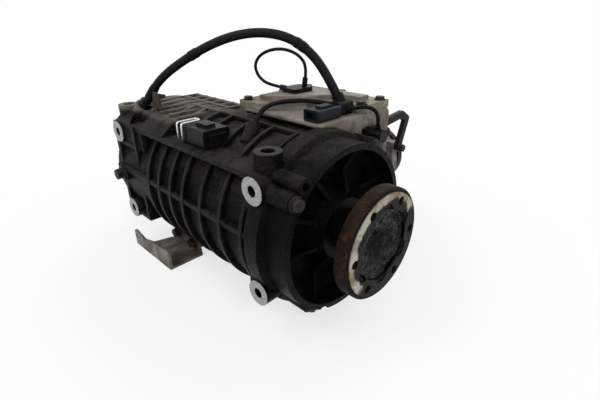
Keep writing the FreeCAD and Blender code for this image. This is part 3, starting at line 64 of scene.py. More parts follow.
bl_info = {
    "name": "Rear differential",
    "version": (1, 0, 0),
    "blender": (4, 5, 0),
    "location": "View3D > Sidebar > Differential",
    "description": "Dresses the ribbed case, the pale pinion carrier, the flanges and the harness",
    "category": "Object",
}

# Routes of the cords, in metres; the same points as the solids follow
HARNESS_ROUTE = (
    (-0.314, -0.051, 0.091), (-0.302, -0.0455, 0.108), (-0.286, -0.037, 0.124), (-0.262, -0.025, 0.140),
    (-0.232, -0.010, 0.1565), (-0.204, 0.005, 0.167), (-0.176, 0.019, 0.1705), (-0.151, 0.032, 0.166),
    (-0.131, 0.042, 0.153), (-0.116, 0.049, 0.134), (-0.1045, 0.0545, 0.1115),
)
COIL_LEAD_ROUTE = (
    (-0.143, -0.024, 0.090), (-0.1435, -0.017, 0.099), (-0.145, -0.004, 0.104), (-0.1455, 0.011, 0.1045),
    (-0.143, 0.026, 0.104), (-0.1345, 0.0395, 0.1035), (-0.1225, 0.0495, 0.102), (-0.110, 0.0555, 0.1005),
)
SENSOR_LEAD_ROUTE = (
    (-0.088, 0.058, 0.099), (-0.079, 0.061, 0.1015), (-0.072, 0.067, 0.1015), (-0.069, 0.075, 0.097),
    (-0.069, 0.081, 0.089), (-0.070, 0.083, 0.079),
)
VENT_ROUTE = (
    (-0.187, 0.053, 0.1095), (-0.198, 0.051, 0.1105), (-0.2095, 0.048, 0.113), (-0.219, 0.0455, 0.1205),
    (-0.223, 0.045, 0.132), (-0.2165, 0.048, 0.143), (-0.203, 0.054, 0.1495), (-0.187, 0.0615, 0.1505),
    (-0.1725, 0.0685, 0.1445), (-0.1645, 0.0725, 0.133), (-0.166, 0.072, 0.120),
)

# Camera fitted to the photograph, in metres, degrees and millimetres of lens
CAMERA_PLACE = (0.16238, -0.26980, 0.19430)
CAMERA_AZIMUTH, CAMERA_ELEVATION, CAMERA_ROLL = 44.742, 25.912, -0.528
SENSOR_WIDTH, LENS = 36.0, 24.018

# Lamps: where each stands and how wide it is, in metres, and the point that all of them face
KEY_PLACE, KEY_WIDTH = (-0.55, -0.9, 1.15), 0.9
FILL_PLACE, FILL_WIDTH = (0.85, -0.35, 0.75), 0.25
BACK_PLACE, BACK_WIDTH = (-0.3, 0.9, 0.9), 0.8
LAMP_AIM = (-0.2, 0.0, 0.0)

# Floor: half its width, and the circle round the part in which it keeps the shadow, in metres
FLOOR_HALF = 4.0
SHADOW_X, SHADOW_Y, SHADOW_IN, SHADOW_OUT = -0.2, 0.02, 0.16, 0.5

# Machined rings on the case: the middle of each pattern, half the distance apart and the reach, in metres
LUGS_X, LUGS_Z, LUGS_HALF_X, LUGS_HALF_Z = -0.2105, 0.002, 0.1305, 0.053
EYES_X, EYES_Y, EYES_HALF_X = -0.214, -0.061, 0.132
LUG_RING, EYE_RING = 0.0129, 0.0126
LUG_FACE_Y, EYE_TOP_Z, FACE_BAND = -0.0825, 0.0846, 0.0002

# Places between which the castings change, in metres: rib tops lighter with dust and painted highlight, a top
# deck painted lighter, painted shade on the bell, and a carrier darker towards the bottom
RIB_FOOT_R, RIB_TOP_R = 0.0855, 0.0888
DECK_LOW_Z, DECK_HIGH_Z = 0.0770, 0.0850
DECK_STEP_X, DECK_PALE_X = -0.21, -0.24
BELL_SEAM_X, BELL_SHADE_X = -0.105, -0.080
BELL_SHADE_TOP_Z, BELL_SHADE_FULL_Z = 0.075, 0.03
CARRIER_SHOULDER_Z, CARRIER_DARK_Z = 0.094, 0.07
DARKENING_TOP_Z, DARKENING_FULL_Z = 0.02, -0.05

# Places that the finishes of the flanges, the gasket and the coil follow, in metres
CUP_MOUTH_R, CUP_WALL_R = 0.0358, 0.0345
GASKET_SMEARED_R = 0.0425
SHAFTS_X, SHAFTS_HALF_X = -0.205, 0.1915
WINDING_R, WINDING_HALF, WINDING_END_X = 0.0525, 0.0074, -0.294

# Tape bands on the harness: where each starts and ends along it, in metres
BANDS = ((0.004, 0.024), (0.086, 0.098), (0.215, 0.229))
BAND_STEPS = 24

# Grease: the seed and number of its lumps, and in metres their field and sizes, the dish and the rim
LUMP_SEED, LUMPS, LUMP_FIELD = 7, 130, 0.034
LUMP_SMALL, LUMP_LARGE = 0.0012, 0.0042
DISH_Y, DISH_Z, DISH_WIDE, DISH_HIGH, DISH_SUNK = -0.004, 0.001, 0.014, 0.012, 0.0018
GREASE_LOWEST, GREASE_HIGHEST, GREASE_RIM, RIM_SOFT = -0.0134, 0.0010, -0.0012, 0.004
BACK_RADII, BACK_DEPTHS = (0.0338, 0.0262, 0.0006), (-0.0085, -0.0136, -0.0137)
GREASE_ROWS, GREASE_COLUMNS = 44, 120


# Shader maths

class Value:
    """A number on a shader socket; each operator adds the Math node that works it out."""

    def __init__(self, finish, socket):
        self.finish = finish
        self.socket = socket

    def maths(self, operation, *others):
        """This number and the others joined by a Math node."""
        return self.finish.add("ShaderNodeMath", {"operation": operation}, self, *others)

    def __add__(self, other):
        return self.maths("ADD", other)

    def __sub__(self, other):
        return self.maths("SUBTRACT", other)

    def __mul__(self, other):
        return self.maths("MULTIPLY", other)

    def __rsub__(self, other):
        return self.finish.add("ShaderNodeMath", {"operation": "SUBTRACT"}, other, self)

    def __abs__(self):
        return self.maths("ABSOLUTE")

    __radd__ = __add__
    __rmul__ = __mul__

    def step(self, low, high):
        """0 below low, 1 above high and smooth between them; low may be the larger one."""
        smooth = {"interpolation_type": "SMOOTHSTEP"}
        return self.finish.add("ShaderNodeMapRange", smooth, self, low, high, 0.0, 1.0)

    def least(self, other):
        return self.maths("MINIMUM", other)

    def most(self, other):
        return self.maths("MAXIMUM", other)


class Finish:
    """A material under construction. Its pattern lies in Object coordinates, in metres."""

    def __init__(self, name):
        self.material = bpy.data.materials.new(name)
        self.material.use_nodes = True
        self.tree = self.material.node_tree
        self.shader = self.tree.nodes["Principled BSDF"]
        self.place = self.add("ShaderNodeTexCoord", {}, output="Object")
        split = self.node("ShaderNodeSeparateXYZ", {}, self.place)
        self.x, self.y, self.z = [Value(self, socket) for socket in split.outputs]

    def node(self, kind, settings, *inputs, **named):
        """New node; its inputs are set by place or by name, each to a Value or to a constant."""
        node = self.tree.nodes.new(kind)
        for key, value in settings.items():
            setattr(node, key, value)
        pairs = list(enumerate(inputs)) + [(key.replace("_", " "), value) for key, value in named.items()]
        for key, value in pairs:
            if isinstance(value, Value):
                self.tree.links.new(value.socket, node.inputs[key])
            elif value is not None:
                node.inputs[key].default_value = value
        return node

    def add(self, kind, settings, *inputs, output=0, **named):
        """The Value that comes out of a new node."""
        return Value(self, self.node(kind, settings, *inputs, **named).outputs[output])

    def noise(self, scale, detail=4.0, rough=0.55, place=None):
        """Cloudy pattern from 0 to 1, with about scale features in a metre."""
        spot = place or self.place
        return self.add("ShaderNodeTexNoise", {}, spot, Scale=scale, Detail=detail, Roughness=rough)

    def stretched(self, scale):
        """Coordinates drawn out along the axes, for streaks."""
        return self.add("ShaderNodeMapping", {}, self.place, Scale=scale)

    def blend(self, factor, low, high):
        """Colour low where factor is 0 and high where it is 1."""
        node = self.tree.nodes.new("ShaderNodeMix")
        node.data_type = "RGBA"
        for index, value in ((0, factor), (6, low), (7, high)):
            if isinstance(value, Value):
                self.tree.links.new(value.socket, node.inputs[index])
            else:
                node.inputs[index].default_value = value if index == 0 else (*value, 1.0)
        return Value(self, node.outputs[2])

    def radius(self):
        """Distance from the axle, which is the X axis."""
        return (self.y * self.y + self.z * self.z).maths("POWER", 0.5)

    def radius_from(self, x0, y0):
        """Distance from an upright axis through (x0, y0)."""
        x, y = self.x - x0, self.y - y0
        return (x * x + y * y).maths("POWER", 0.5)

    def upward(self):
        """1 on faces that look up, where dust settles."""
        normal = self.add("ShaderNodeNewGeometry", {}, output="Normal")
        return Value(self, self.node("ShaderNodeSeparateXYZ", {}, normal).outputs[2])

    def surface(self, colour, roughness, metallic, height, depth, strength, edge=0.0, gloss=None):
        """Joins the shader. edge is the radius that sharp edges are shaded with, gloss the specular level."""
        for name, value in (("Base Color", colour), ("Roughness", roughness), ("Metallic", metallic)):
            if isinstance(value, Value):
                self.tree.links.new(value.socket, self.shader.inputs[name])
            else:
                self.shader.inputs[name].default_value = value
        if gloss is not None:
            self.shader.inputs["Specular IOR Level"].default_value = gloss
        bent = self.add("ShaderNodeBevel", {"samples": 4}, edge) if edge else None
        bump = self.add("ShaderNodeBump", {}, Strength=strength, Distance=depth, Height=height, Normal=bent)
        self.tree.links.new(bump.socket, self.shader.inputs["Normal"])
        return self.material


def near(value, centre, reach, soft=0.0004):
    """1 where value lies within reach of centre."""
    return abs(value - centre).step(reach + soft, reach - soft)


def dark_cast(sizes):
    """Oily black cast aluminium with grey-brown dust on what looks up, painted highlight specks on top, rib
    tops lighter with dust and painted highlight, a top deck painted lighter, painted shade on the bell, and
    the machined rings of the lugs.
    """
    f = Finish("dark_cast_aluminium")
    patches, cloud, grain = f.noise(14.0, 5.0), f.noise(60.0, 5.0, 0.65), f.noise(520.0, 3.0, 0.7)
    pits = f.add("ShaderNodeTexVoronoi", {}, f.place, Scale=330.0)
    colour = f.blend(patches.step(0.38, 0.62), tuple(sizes.oil), tuple(sizes.dark))
    colour = f.blend(cloud.step(0.46, 0.72) * 0.45, colour, (0.010, 0.0088, 0.0075))
    dust = f.upward().step(0.1, 0.95) * cloud.step(0.32, 0.62) * patches.step(0.3, 0.62)
    colour = f.blend(dust * 0.8, colour, tuple(sizes.dust))
    # Painted highlight: lighter specks on faces that look up
    speck_highlight = f.noise(300.0, 2.0, 0.5).step(0.55, 0.66) * f.upward().step(-0.1, 0.8) * patches.step(0.3, 0.6)
    colour = f.blend(speck_highlight * 0.55, colour, (0.038, 0.035, 0.031))
    # Rib tops lighter: dust, with painted highlight on the rib edges
    rib_dust_and_highlight = f.radius().step(RIB_FOOT_R, RIB_TOP_R) * grain.step(0.35, 0.65) * cloud.step(0.3, 0.6)
    colour = f.blend(rib_dust_and_highlight * 0.6, colour, (0.036, 0.033, 0.029))
    # Painted shade on the bell, darker towards the bottom
    bell_shade = f.x.step(BELL_SEAM_X, BELL_SHADE_X) * (0.4 + f.z.step(BELL_SHADE_TOP_Z, BELL_SHADE_FULL_Z) * 0.5)
    colour = f.blend(bell_shade, colour, (0.0006, 0.0006, 0.0006))
    # The top deck is painted lighter
    deck = f.z.step(DECK_LOW_Z, DECK_HIGH_Z) * f.x.step(DECK_STEP_X, DECK_PALE_X) * cloud.step(0.2, 0.55)
    colour = f.blend(deck * 0.8, colour, (0.17, 0.152, 0.127))
    lug = near(abs(f.x - LUGS_X), LUGS_HALF_X, LUG_RING) * near(abs(f.z - LUGS_Z), LUGS_HALF_Z, LUG_RING)
    lug = lug * f.y.step(LUG_FACE_Y + FACE_BAND, LUG_FACE_Y - FACE_BAND)
    eye = near(abs(f.x - EYES_X), EYES_HALF_X, EYE_RING) * near(f.y, EYES_Y, EYE_RING)
    eye = eye * f.z.step(EYE_TOP_Z - FACE_BAND, EYE_TOP_Z + FACE_BAND)
    bare = (lug + eye * 0.1).least(1.0)
    scuff = f.noise(240.0, 4.0, 0.6, f.stretched((1.0, 1.0, 6.0)))
    colour = f.blend(bare, colour, f.blend(scuff.step(0.35, 0.7), (0.26, 0.255, 0.25), (0.50, 0.495, 0.485)))
    rough = 0.22 + cloud * 0.36 + dust * 0.35 + bare * 0.1
    height = grain * 0.9 + cloud * 0.7 + pits * 0.4
    return f.surface(colour, rough.least(0.9), bare * 0.3, height, 0.0014, 0.9, edge=0.0014, gloss=0.05)


def pale_cast(sizes):
    """Weathered pale casting: warm grey, brown where oil crept, darker towards the bottom, with a coarse cast
    skin.
    """
    f = Finish("pale_cast_aluminium")
    patches, cloud, grain = f.noise(16.0, 5.0, 0.6), f.noise(75.0, 5.0, 0.65), f.noise(600.0, 3.0, 0.7)
    colour = f.blend(patches.step(0.36, 0.66), tuple(sizes.stain), tuple(sizes.pale))
    colour = f.blend(cloud.step(0.46, 0.68) * 0.7, colour, (0.092, 0.069, 0.046))
    # Darker below the carrier's shoulder
    low = f.z.step(CARRIER_SHOULDER_Z, CARRIER_DARK_Z) * cloud.step(0.25, 0.6)
    colour = f.blend(low * 0.6, colour, (0.034, 0.030, 0.025))
    # Darker towards the bottom
    lower_dark = f.z.step(DARKENING_TOP_Z, DARKENING_FULL_Z)
    colour = f.blend(lower_dark * 0.7, colour, (0.024, 0.021, 0.018))
    spots = f.add("ShaderNodeTexVoronoi", {}, f.place, Scale=95.0).step(0.16, 0.08) * patches.step(0.4, 0.6)
    colour = f.blend(spots * 0.6, colour, (0.024, 0.020, 0.016))
    height = grain * 0.6 + cloud * 0.6
    return f.surface(colour, 0.5 + cloud * 0.25, 0.25, height, 0.0008, 0.5, edge=0.0022)


def rusted_flange(sizes):
    """Forged flange: orange-brown rust on the rim, thin and dark on the face, oily black behind."""
    f = Finish("rusted_flange_steel")
    patches, cloud, grain = f.noise(38.0, 5.0, 0.6), f.noise(130.0, 5.0, 0.7), f.noise(700.0, 2.0)
    colour = f.blend(patches.step(0.38, 0.62), (0.008, 0.0055, 0.0045), tuple(sizes.rust))
    colour = f.blend(cloud.step(0.5, 0.68), colour, (0.050, 0.021, 0.010))
    under = f.z.step(0.005, -0.03)
    colour = f.blend(under * 0.7, colour, (0.005, 0.0042, 0.004))
    face = near(f.x, 0.0, 0.0006, 0.0002)
    colour = f.blend(face, colour, (0.006, 0.006, 0.006))
    middle = near(f.x, SHAFTS_X, SHAFTS_HALF_X, 0.003)
    colour = f.blend(middle * patches.step(0.2, 0.45), colour, (0.005, 0.0045, 0.0042))
    cup = f.radius().step(CUP_MOUTH_R, CUP_WALL_R)
    colour = f.blend(cup, colour, (0.012, 0.011, 0.010))
    height = cloud * 0.8 + grain * 0.4
    rough = 0.72 - middle * 0.3 - cup * 0.2
    return f.surface(colour, rough, 0.35, height, 0.0006, 0.6, edge=0.0009, gloss=0.1)


def dirty_steel(name, base, rust, amount, roughness=0.4, shine=0.8, edge=0.0004):
    """Plated or ground steel with rust that blooms from noise patches."""
    f = Finish(name)
    patches, grain = f.noise(70.0, 5.0, 0.6), f.noise(420.0, 3.0)
    bloom = patches.step(0.62 - amount * 0.3, 0.72 - amount * 0.15)
    colour = f.blend(grain.step(0.3, 0.7) * 0.5, base, tuple(0.6 * part for part in base))
    colour = f.blend(bloom, colour, rust)
    metal = shine - bloom * shine * 0.7
    return f.surface(colour, roughness + bloom * 0.3, metal, grain + patches * 0.6, 0.0003, 0.5, edge=edge)


def sheet_zinc(sizes):
    """Dull zinc sheet: streaks, brown tint and a few bright scrapes."""
    f = Finish("dull_zinc_sheet")
    streak = f.noise(55.0, 5.0, 0.6, f.stretched((1.0, 0.25, 1.0)))
    cloud, grain = f.noise(35.0, 4.0), f.noise(500.0, 2.0)
    colour = f.blend(streak.step(0.35, 0.65), (0.092, 0.080, 0.065), tuple(sizes.zinc))
    colour = f.blend(cloud.step(0.48, 0.66) * 0.75, colour, (0.064, 0.036, 0.021))
    return f.surface(colour, 0.42 + cloud * 0.3, 0.55, streak + grain * 0.4, 0.0004, 0.5, edge=0.0008)


def moulded(name, colour, dust, roughness, grain_scale=300.0):
    """Moulded plastic or rubber: a fine grain and dust that lies in patches."""
    f = Finish(name)
    cloud, grain = f.noise(80.0, 4.0), f.noise(grain_scale, 3.0)
    tone = f.blend(cloud.step(0.45, 0.75) * 0.5, colour, dust)
    height = grain + cloud * 0.5
    return f.surface(tone, roughness + cloud * 0.2, 0.0, height, 0.00025, 0.5, edge=0.0006, gloss=0.12)


def taped(sizes):
    """Black tape wound on a conduit: slanting laps and dusty edges."""
    f = Finish("wound_black_tape")
    lap = f.add("ShaderNodeTexWave", {"wave_profile": "SAW"}, f.place, Scale=34.0, Distortion=2.2, Detail=2.0)
    cloud, grain = f.noise(90.0, 4.0), f.noise(500.0, 2.0)
    dusty = lap.step(0.7, 1.0) * 0.5 + cloud.step(0.5, 0.75) * 0.4
    colour = f.blend(dusty, tuple(sizes.tape), (0.010, 0.0095, 0.009))
    return f.surface(colour, 0.42 + cloud * 0.25, 0.0, lap + grain * 0.3, 0.0005, 0.5, gloss=0.12)


def old_gasket(sizes):
    """Pale gasket, browned and smeared black in patches."""
    f = Finish("stained_gasket")
    patches, cloud = f.noise(42.0, 5.0, 0.62), f.noise(170.0, 4.0)
    colour = f.blend(patches.step(0.36, 0.6), (0.19, 0.135, 0.075), tuple(sizes.gasket))
    ragged = (patches - 0.5) * 0.022
    far_half = (f.y * 0.6 - f.z * 0.8 + ragged).step(0.002, 0.010)
    inner_edge = (f.radius() + ragged).step(GASKET_SMEARED_R + 0.001, GASKET_SMEARED_R - 0.001)
    smear = far_half.most(inner_edge).most(cloud.step(0.60, 0.70) * 0.8)
    colour = f.blend(smear * 0.98, colour, (0.003, 0.003, 0.0033))
    return f.surface(colour, 0.45 + patches * 0.3, 0.0, cloud + patches, 0.0004, 0.5, gloss=0.1)


def wet_grease(sizes):
    """Black grease: wet folds with painted blue-grey highlights on their tops, and painted shade in the
    hollow in the middle.
    """
    f = Finish("wet_black_grease")
    fold, fine = f.noise(95.0, 3.0, 0.5), f.noise(300.0, 2.0, 0.5)
    # Painted highlight: blue-grey on the tops of the folds
    colour = f.blend(fold.step(0.60, 0.72), tuple(sizes.grease), (0.006, 0.007, 0.0085))
    # Painted shade: darker in the hollow in the middle
    colour = f.blend(f.radius().step(0.018, 0.008), colour, (0.0015, 0.0015, 0.0015))
    return f.surface(colour, 0.10 + fine * 0.12, 0.0, fold * 1.4 + fine * 0.3, 0.0040, 1.0, gloss=0.09)


def lining():
    """Brown friction lining with matted fibres."""
    f = Finish("fibrous_lining")
    fibre = f.noise(260.0, 5.0, 0.7)
    colour = f.blend(fibre.step(0.4, 0.65), (0.07, 0.045, 0.028), (0.17, 0.12, 0.075))
    return f.surface(colour, 0.8, 0.0, fibre, 0.0003, 0.6)


def winding():
    """Copper winding between the walls of a dark steel cup."""
    f = Finish("coil_and_cup")
    wires = f.add("ShaderNodeTexWave", {"bands_direction": "X"}, f.place, Scale=320.0, Distortion=0.4)
    inside = near(f.radius(), WINDING_R, WINDING_HALF) * f.x.step(WINDING_END_X, WINDING_END_X + 0.0015)
    colour = f.blend(inside, (0.06, 0.058, 0.055), f.blend(wires, (0.20, 0.075, 0.03), (0.42, 0.17, 0.07)))
    return f.surface(colour, 0.35 + wires * 0.1, 0.8, wires * inside, 0.0004, 0.5)


def metals_and_rubbers(sizes):
    """The record's slot names with their finishes."""
    black, soot, dry_dust = (0.0025, 0.0025, 0.0025), (0.005, 0.005, 0.005), (0.008, 0.0075, 0.007)
    bright, dulled = (0.80, 0.80, 0.81), (0.45, 0.42, 0.38)
    return {
        "dark_casting": dark_cast(sizes),
        "pale_casting": pale_cast(sizes),
        "rusty_steel": rusted_flange(sizes),
        "bolt_steel": dirty_steel("plated_bolts", (0.026, 0.024, 0.021), (0.014, 0.009, 0.006), 0.8, 0.45),
        "zinc_sheet": sheet_zinc(sizes),
        "black_paint": moulded("chipped_black_paint", soot, (0.024, 0.020, 0.016), 0.4, 220.0),
        "black_plastic": moulded("black_plastic", (0.0025, 0.0025, 0.0028), (0.014, 0.0135, 0.013), 0.3),
        "blue_plastic": moulded("slate_plastic", (0.005, 0.0065, 0.010), (0.021, 0.024, 0.029), 0.34),
        "black_rubber": moulded("black_rubber", black, dry_dust, 0.55, 420.0),
        "bright_wire": dirty_steel("bright_spring_wire", bright, dulled, 0.1, 0.25, 0.7, edge=0.0),
        "pale_gasket": old_gasket(sizes),
        "dark_grease": wet_grease(sizes),
        "ground_steel": dirty_steel("ground_steel", (0.46, 0.46, 0.47), (0.20, 0.15, 0.10), 0.25, 0.25),
        "cast_iron": dirty_steel("machined_iron", (0.17, 0.165, 0.16), (0.12, 0.08, 0.05), 0.4, 0.5),
        "friction_lining": lining(),
        "coil_winding": winding(),
    }


# Surfaces

def put_surface(name, grid, body, slot, replaced=()):
    """Skins a grid of points, with rows along a path and columns round it, by quads and two end faces."""
    rows, columns, _ = grid.shape
    row = np.arange(rows - 1)[:, None] * columns
    column = np.arange(columns)[None, :]
    after = (column + 1) % columns
    quads = np.stack([row + column, row + after, row + columns + after, row + columns + column], -1)
    faces = quads.reshape(-1, 4).tolist()
    faces.append(list(range(columns))[::-1])
    faces.append(list(range((rows - 1) * columns, rows * columns)))
    mesh = bpy.data.meshes.new(name)
    mesh.from_pydata(grid.reshape(-1, 3).tolist(), [], faces)
    mesh.polygons.foreach_set("use_smooth", [True] * len(mesh.polygons))
    mesh.update()
    piece = bpy.data.objects.new(name, mesh)
    bpy.context.collection.objects.link(piece)
    mesh.materials.append(FINISHES[slot])
    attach(piece, body)
    if replaced:
        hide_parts(*replaced)


def directions(points):
    """Unit vectors along a path."""
    tangent = np.gradient(points, axis=0)
    return tangent / np.linalg.norm(tangent, axis=1, keepdims=True)


def leaning_frame(points):
    """Two directions across a path, of which the first leans on the axis that the path follows least."""
    tangent = directions(points)
    guide = np.eye(3)[np.argmin(np.abs(tangent).sum(0))]
    normal = guide - tangent * (tangent @ guide)[:, None]
    normal /= np.linalg.norm(normal, axis=1, keepdims=True)
    return normal, np.cross(tangent, normal)


def carried_frame(points):
    """Two directions across a path, carried from point to point by the smallest turn."""
    tangent = directions(points)
    normals = [np.cross(tangent[0], (0.3, 0.5, 0.8))]
    for here in tangent[1:]:
        normals.append(normals[-1] - here * (normals[-1] @ here))
    normal = np.array(normals)
    normal /= np.linalg.norm(normal, axis=1, keepdims=True)
    return normal, np.cross(tangent, normal)


def tube(points, radius, sideways, columns):
    """Round tube: each point is the path's, plus radius times cosine t and sine t along two cross directions.

    radius holds one value for each point of the path, and t goes once round in equal steps.
    """
    normal, across = sideways
    turn = np.linspace(0.0, 2 * np.pi, columns, endpoint=False)
    return (points[:, None] + normal[:, None] * (np.cos(turn)[None, :, None] * radius[:, None, None])
            + across[:, None] * (np.sin(turn)[None, :, None] * radius[:, None, None]))


def rounded_path(corners, radius, steps=6):
    """Path through corners whose turns are quadratic curves that start radius before each corner."""
    corners = np.asarray(corners, float)
    parts = [corners[:1]]
    t = np.linspace(0.0, 1.0, steps)[:, None]
    for before, here, after in zip(corners, corners[1:], corners[2:]):
        enter = here + (before - here) / np.linalg.norm(before - here) * radius
        leave = here + (after - here) / np.linalg.norm(after - here) * radius
        parts.append((1 - t) ** 2 * enter + 2 * t * (1 - t) * here + t ** 2 * leave)
    parts.append(corners[-1:])
    return np.vstack(parts)


def cord_curve(name, route, radius, node):
    """Cord as a NURBS spline of order 3 on the route's own points, with a round bevel.

    The bevel is one metre deep, and each point scales it to the cord's radius, so that the box fits the cord.
    """
    curve = bpy.data.curves.new(name, "CURVE")
    curve.dimensions = "3D"
    curve.resolution_u = 10
    curve.bevel_depth = 1.0
    curve.bevel_resolution = 5
    curve.use_fill_caps = True
    spline = curve.splines.new("NURBS")
    spline.points.add(len(route) - 1)
    for point, place in zip(spline.points, route):
        point.co = (*place, 1.0)
        point.radius = radius
    spline.order_u = 3
    spline.use_endpoint_u = True
    piece = bpy.data.objects.new(name, curve)
    bpy.context.collection.objects.link(piece)
    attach(piece, "housing")
    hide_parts(node)
    bare = curve.copy()
    bare.bevel_depth = 0.0
    bare.use_fill_caps = False
    probe = bpy.data.objects.new(name + "_probe", bare)
    line = bpy.data.meshes.new_from_object(probe)
    points = np.empty(len(line.vertices) * 3)
    line.vertices.foreach_get("co", points)
    points = points.reshape(-1, 3)
    bpy.data.objects.remove(probe)
    bpy.data.curves.remove(bare)
    bpy.data.meshes.remove(line)
    return piece, points


def part_of_path(points, start, end, count):
    """count points, evenly spaced along a path between two lengths from its first point."""
    steps = np.linalg.norm(np.diff(points, axis=0), axis=1)
    along = np.concatenate([[0.0], np.cumsum(steps)])
    wanted = np.linspace(start, end, count)
    return np.stack([np.interp(wanted, along, points[:, axis]) for axis in range(3)], 1)


# Settings of the pieces

def colour_setting(name, text, default):
    """Colour that a user can change, in linear light."""
    return FloatVectorProperty(name=name, description=text, default=default, subtype="COLOR", min=0.0,
                               max=1.0)


def length_setting(name, text, default):
    """Length that a user can change, in metres."""
    return FloatProperty(name=name, description=text, default=default, unit="LENGTH")


class CastingSizes(bpy.types.PropertyGroup):
    oil: colour_setting("Oil", "Colour of the case where it is wet with oil", (0.0010, 0.0010, 0.0010))
    dark: colour_setting("Casting", "Colour of the dry dark casting", (0.0042, 0.0039, 0.0036))
    dust: colour_setting("Dust", "Colour of the dust on top", (0.046, 0.041, 0.035))
    pale: colour_setting("Pale casting", "Colour of the pale pinion carrier", (0.30, 0.278, 0.242))
    stain: colour_setting("Stain", "Colour where the pale casting is stained", (0.155, 0.130, 0.100))
    rust: colour_setting("Rust", "Colour of the flange's rust", (0.024, 0.012, 0.007))
    zinc: colour_setting("Zinc", "Colour of the sheet bracket", (0.21, 0.195, 0.172))
    tape: colour_setting("Tape", "Colour of the harness tape", (0.0028, 0.0027, 0.0026))
    gasket: colour_setting("Gasket", "Colour of the flange gasket", (0.42, 0.39, 0.33))
    grease: colour_setting("Grease", "Colour of the grease in the cup", (0.0007, 0.0007, 0.0008))


class GreaseSizes(bpy.types.PropertyGroup):
    lump: length_setting("Lumps", "Height of the grease lumps", 0.0032)
    hollow: length_setting("Hollow", "Depth of the hollow in the middle", 0.0105)
    reach: length_setting("Radius", "Radius of the filled cup", 0.0342)


class CordSizes(bpy.types.PropertyGroup):
    harness: length_setting("Harness", "Radius of the harness", 0.00475)
    lead: length_setting("Coil lead", "Radius of the coil's lead", 0.0025)
    sensor: length_setting("Sensor lead", "Radius of the sensor's lead", 0.002)
    vent: length_setting("Vent hose", "Radius of the vent hose", 0.0018)
    band: length_setting("Tape bands", "How far a tape band stands out", 0.0007)


class WireSizes(bpy.types.PropertyGroup):
    wire: length_setting("Wire", "Radius of the spring wire", 0.001)
    bend: length_setting("Bend", "Where its bends start before a corner", 0.003)


class StageSizes(bpy.types.PropertyGroup):
    key: FloatProperty(name="Key light", description="Power of the large soft lamp", default=9.0)
    fill: FloatProperty(name="Fill light", description="Power of the lamps beside and behind", default=4.5)
    sky: FloatProperty(name="Sky", description="Strength of the white surroundings", default=0.5)


# Operators, one for each group of pieces

class DressNodes(bpy.types.Operator):
    """Gives each solid the finish of its material slot"""
    bl_idname = "differential.dress_nodes"
    bl_label = "Dress the solids"

    def execute(self, context):
        FINISHES.update(metals_and_rubbers(context.scene.casting_sizes))
        slots = {row["node"]: row["material_slot"] for row in frame["record"]["subparts"]}
        for name, piece in frame["nodes"].items():
            piece.data.materials.clear()
            piece.data.materials.append(FINISHES[slots[name]])
        sheet, rust = (0.046, 0.033, 0.025), (0.036, 0.016, 0.009)
        clip = frame["nodes"]["harness_clip"]
        clip.data.materials[0] = dirty_steel("rusty_clip", sheet, rust, 1.2, 0.6, 0.5)
        return {"FINISHED"}


class FillCup(bpy.types.Operator):
    """Builds the lumpy grease in the flange's cup"""
    bl_idname = "differential.fill_cup"
    bl_label = "Fill the cup"

    def execute(self, context):
        """The front is a shallow dish plus bells of seeded places and sizes, and the back follows the cup."""
        sizes = context.scene.grease_sizes
        rng = np.random.default_rng(LUMP_SEED)
        turn = np.linspace(0.0, 2 * np.pi, GREASE_COLUMNS, endpoint=False)
        reach = sizes.reach * np.linspace(0.02, 1.0, GREASE_ROWS) ** 0.8
        y, z = reach[:, None] * np.cos(turn), reach[:, None] * np.sin(turn)
        dish = np.exp(-(y - DISH_Y) ** 2 / DISH_WIDE ** 2 - (z - DISH_Z) ** 2 / DISH_HIGH ** 2)
        front = -sizes.hollow * dish - DISH_SUNK
        for _ in range(LUMPS):
            lump_y, lump_z = rng.uniform(-LUMP_FIELD, LUMP_FIELD, 2)
            size, rise = rng.uniform(LUMP_SMALL, LUMP_LARGE), rng.uniform(-0.6, 1.0)
            bell = np.exp(-((y - lump_y) ** 2 + (z - lump_z) ** 2) / size ** 2)
            front = front + rise * sizes.lump * 0.6 * bell
        inward = np.clip((sizes.reach - reach) / RIM_SOFT, 0.0, 1.0)[:, None]
        front = np.clip(front, GREASE_LOWEST, GREASE_HIGHEST) * inward + GREASE_RIM * (1 - inward)
        back_reach, back_x = np.array(BACK_RADII)[:, None], np.array(BACK_DEPTHS)[:, None]
        back = np.stack(np.broadcast_arrays(back_x, back_reach * np.cos(turn), back_reach * np.sin(turn)), -1)
        grid = np.concatenate([np.stack([front, y, z], -1), back], 0)
        put_surface("joint_grease_lumps", grid, "right_side", "dark_grease", ("joint_grease",))
        return {"FINISHED"}


class LayCords(bpy.types.Operator):
    """Lays the harness, its leads and the vent hose, and winds tape bands on the harness"""
    bl_idname = "differential.lay_cords"
    bl_label = "Lay the cords"

    def execute(self, context):
        sizes = context.scene.cord_sizes
        tape = taped(context.scene.casting_sizes)
        rubber = FINISHES["black_rubber"]
        harness, line = cord_curve("main_harness_tube", HARNESS_ROUTE, sizes.harness, "main_harness")
        harness.data.materials.append(tape)
        for name, route, radius, node in (
                ("coil_lead_wire", COIL_LEAD_ROUTE, sizes.lead, "coil_lead"),
                ("sensor_lead_wire", SENSOR_LEAD_ROUTE, sizes.sensor, "sensor_lead"),
                ("vent_hose_tube", VENT_ROUTE, sizes.vent, "vent_hose")):
            piece, _ = cord_curve(name, route, radius, node)
            piece.data.materials.append(rubber)
        ripple = np.abs(np.sin(np.linspace(0, 7.0, BAND_STEPS)))
        radius = sizes.harness + sizes.band * (0.55 + 0.45 * ripple)
        radius[[0, -1]] = sizes.harness + 0.0001
        for index, (start, end) in enumerate(BANDS):
            path = part_of_path(line, start, end, BAND_STEPS)
            grid = tube(path, radius, leaning_frame(path), 24)
            put_surface("harness_band_%d" % index, grid, "housing", "black_rubber")
        return {"FINISHED"}


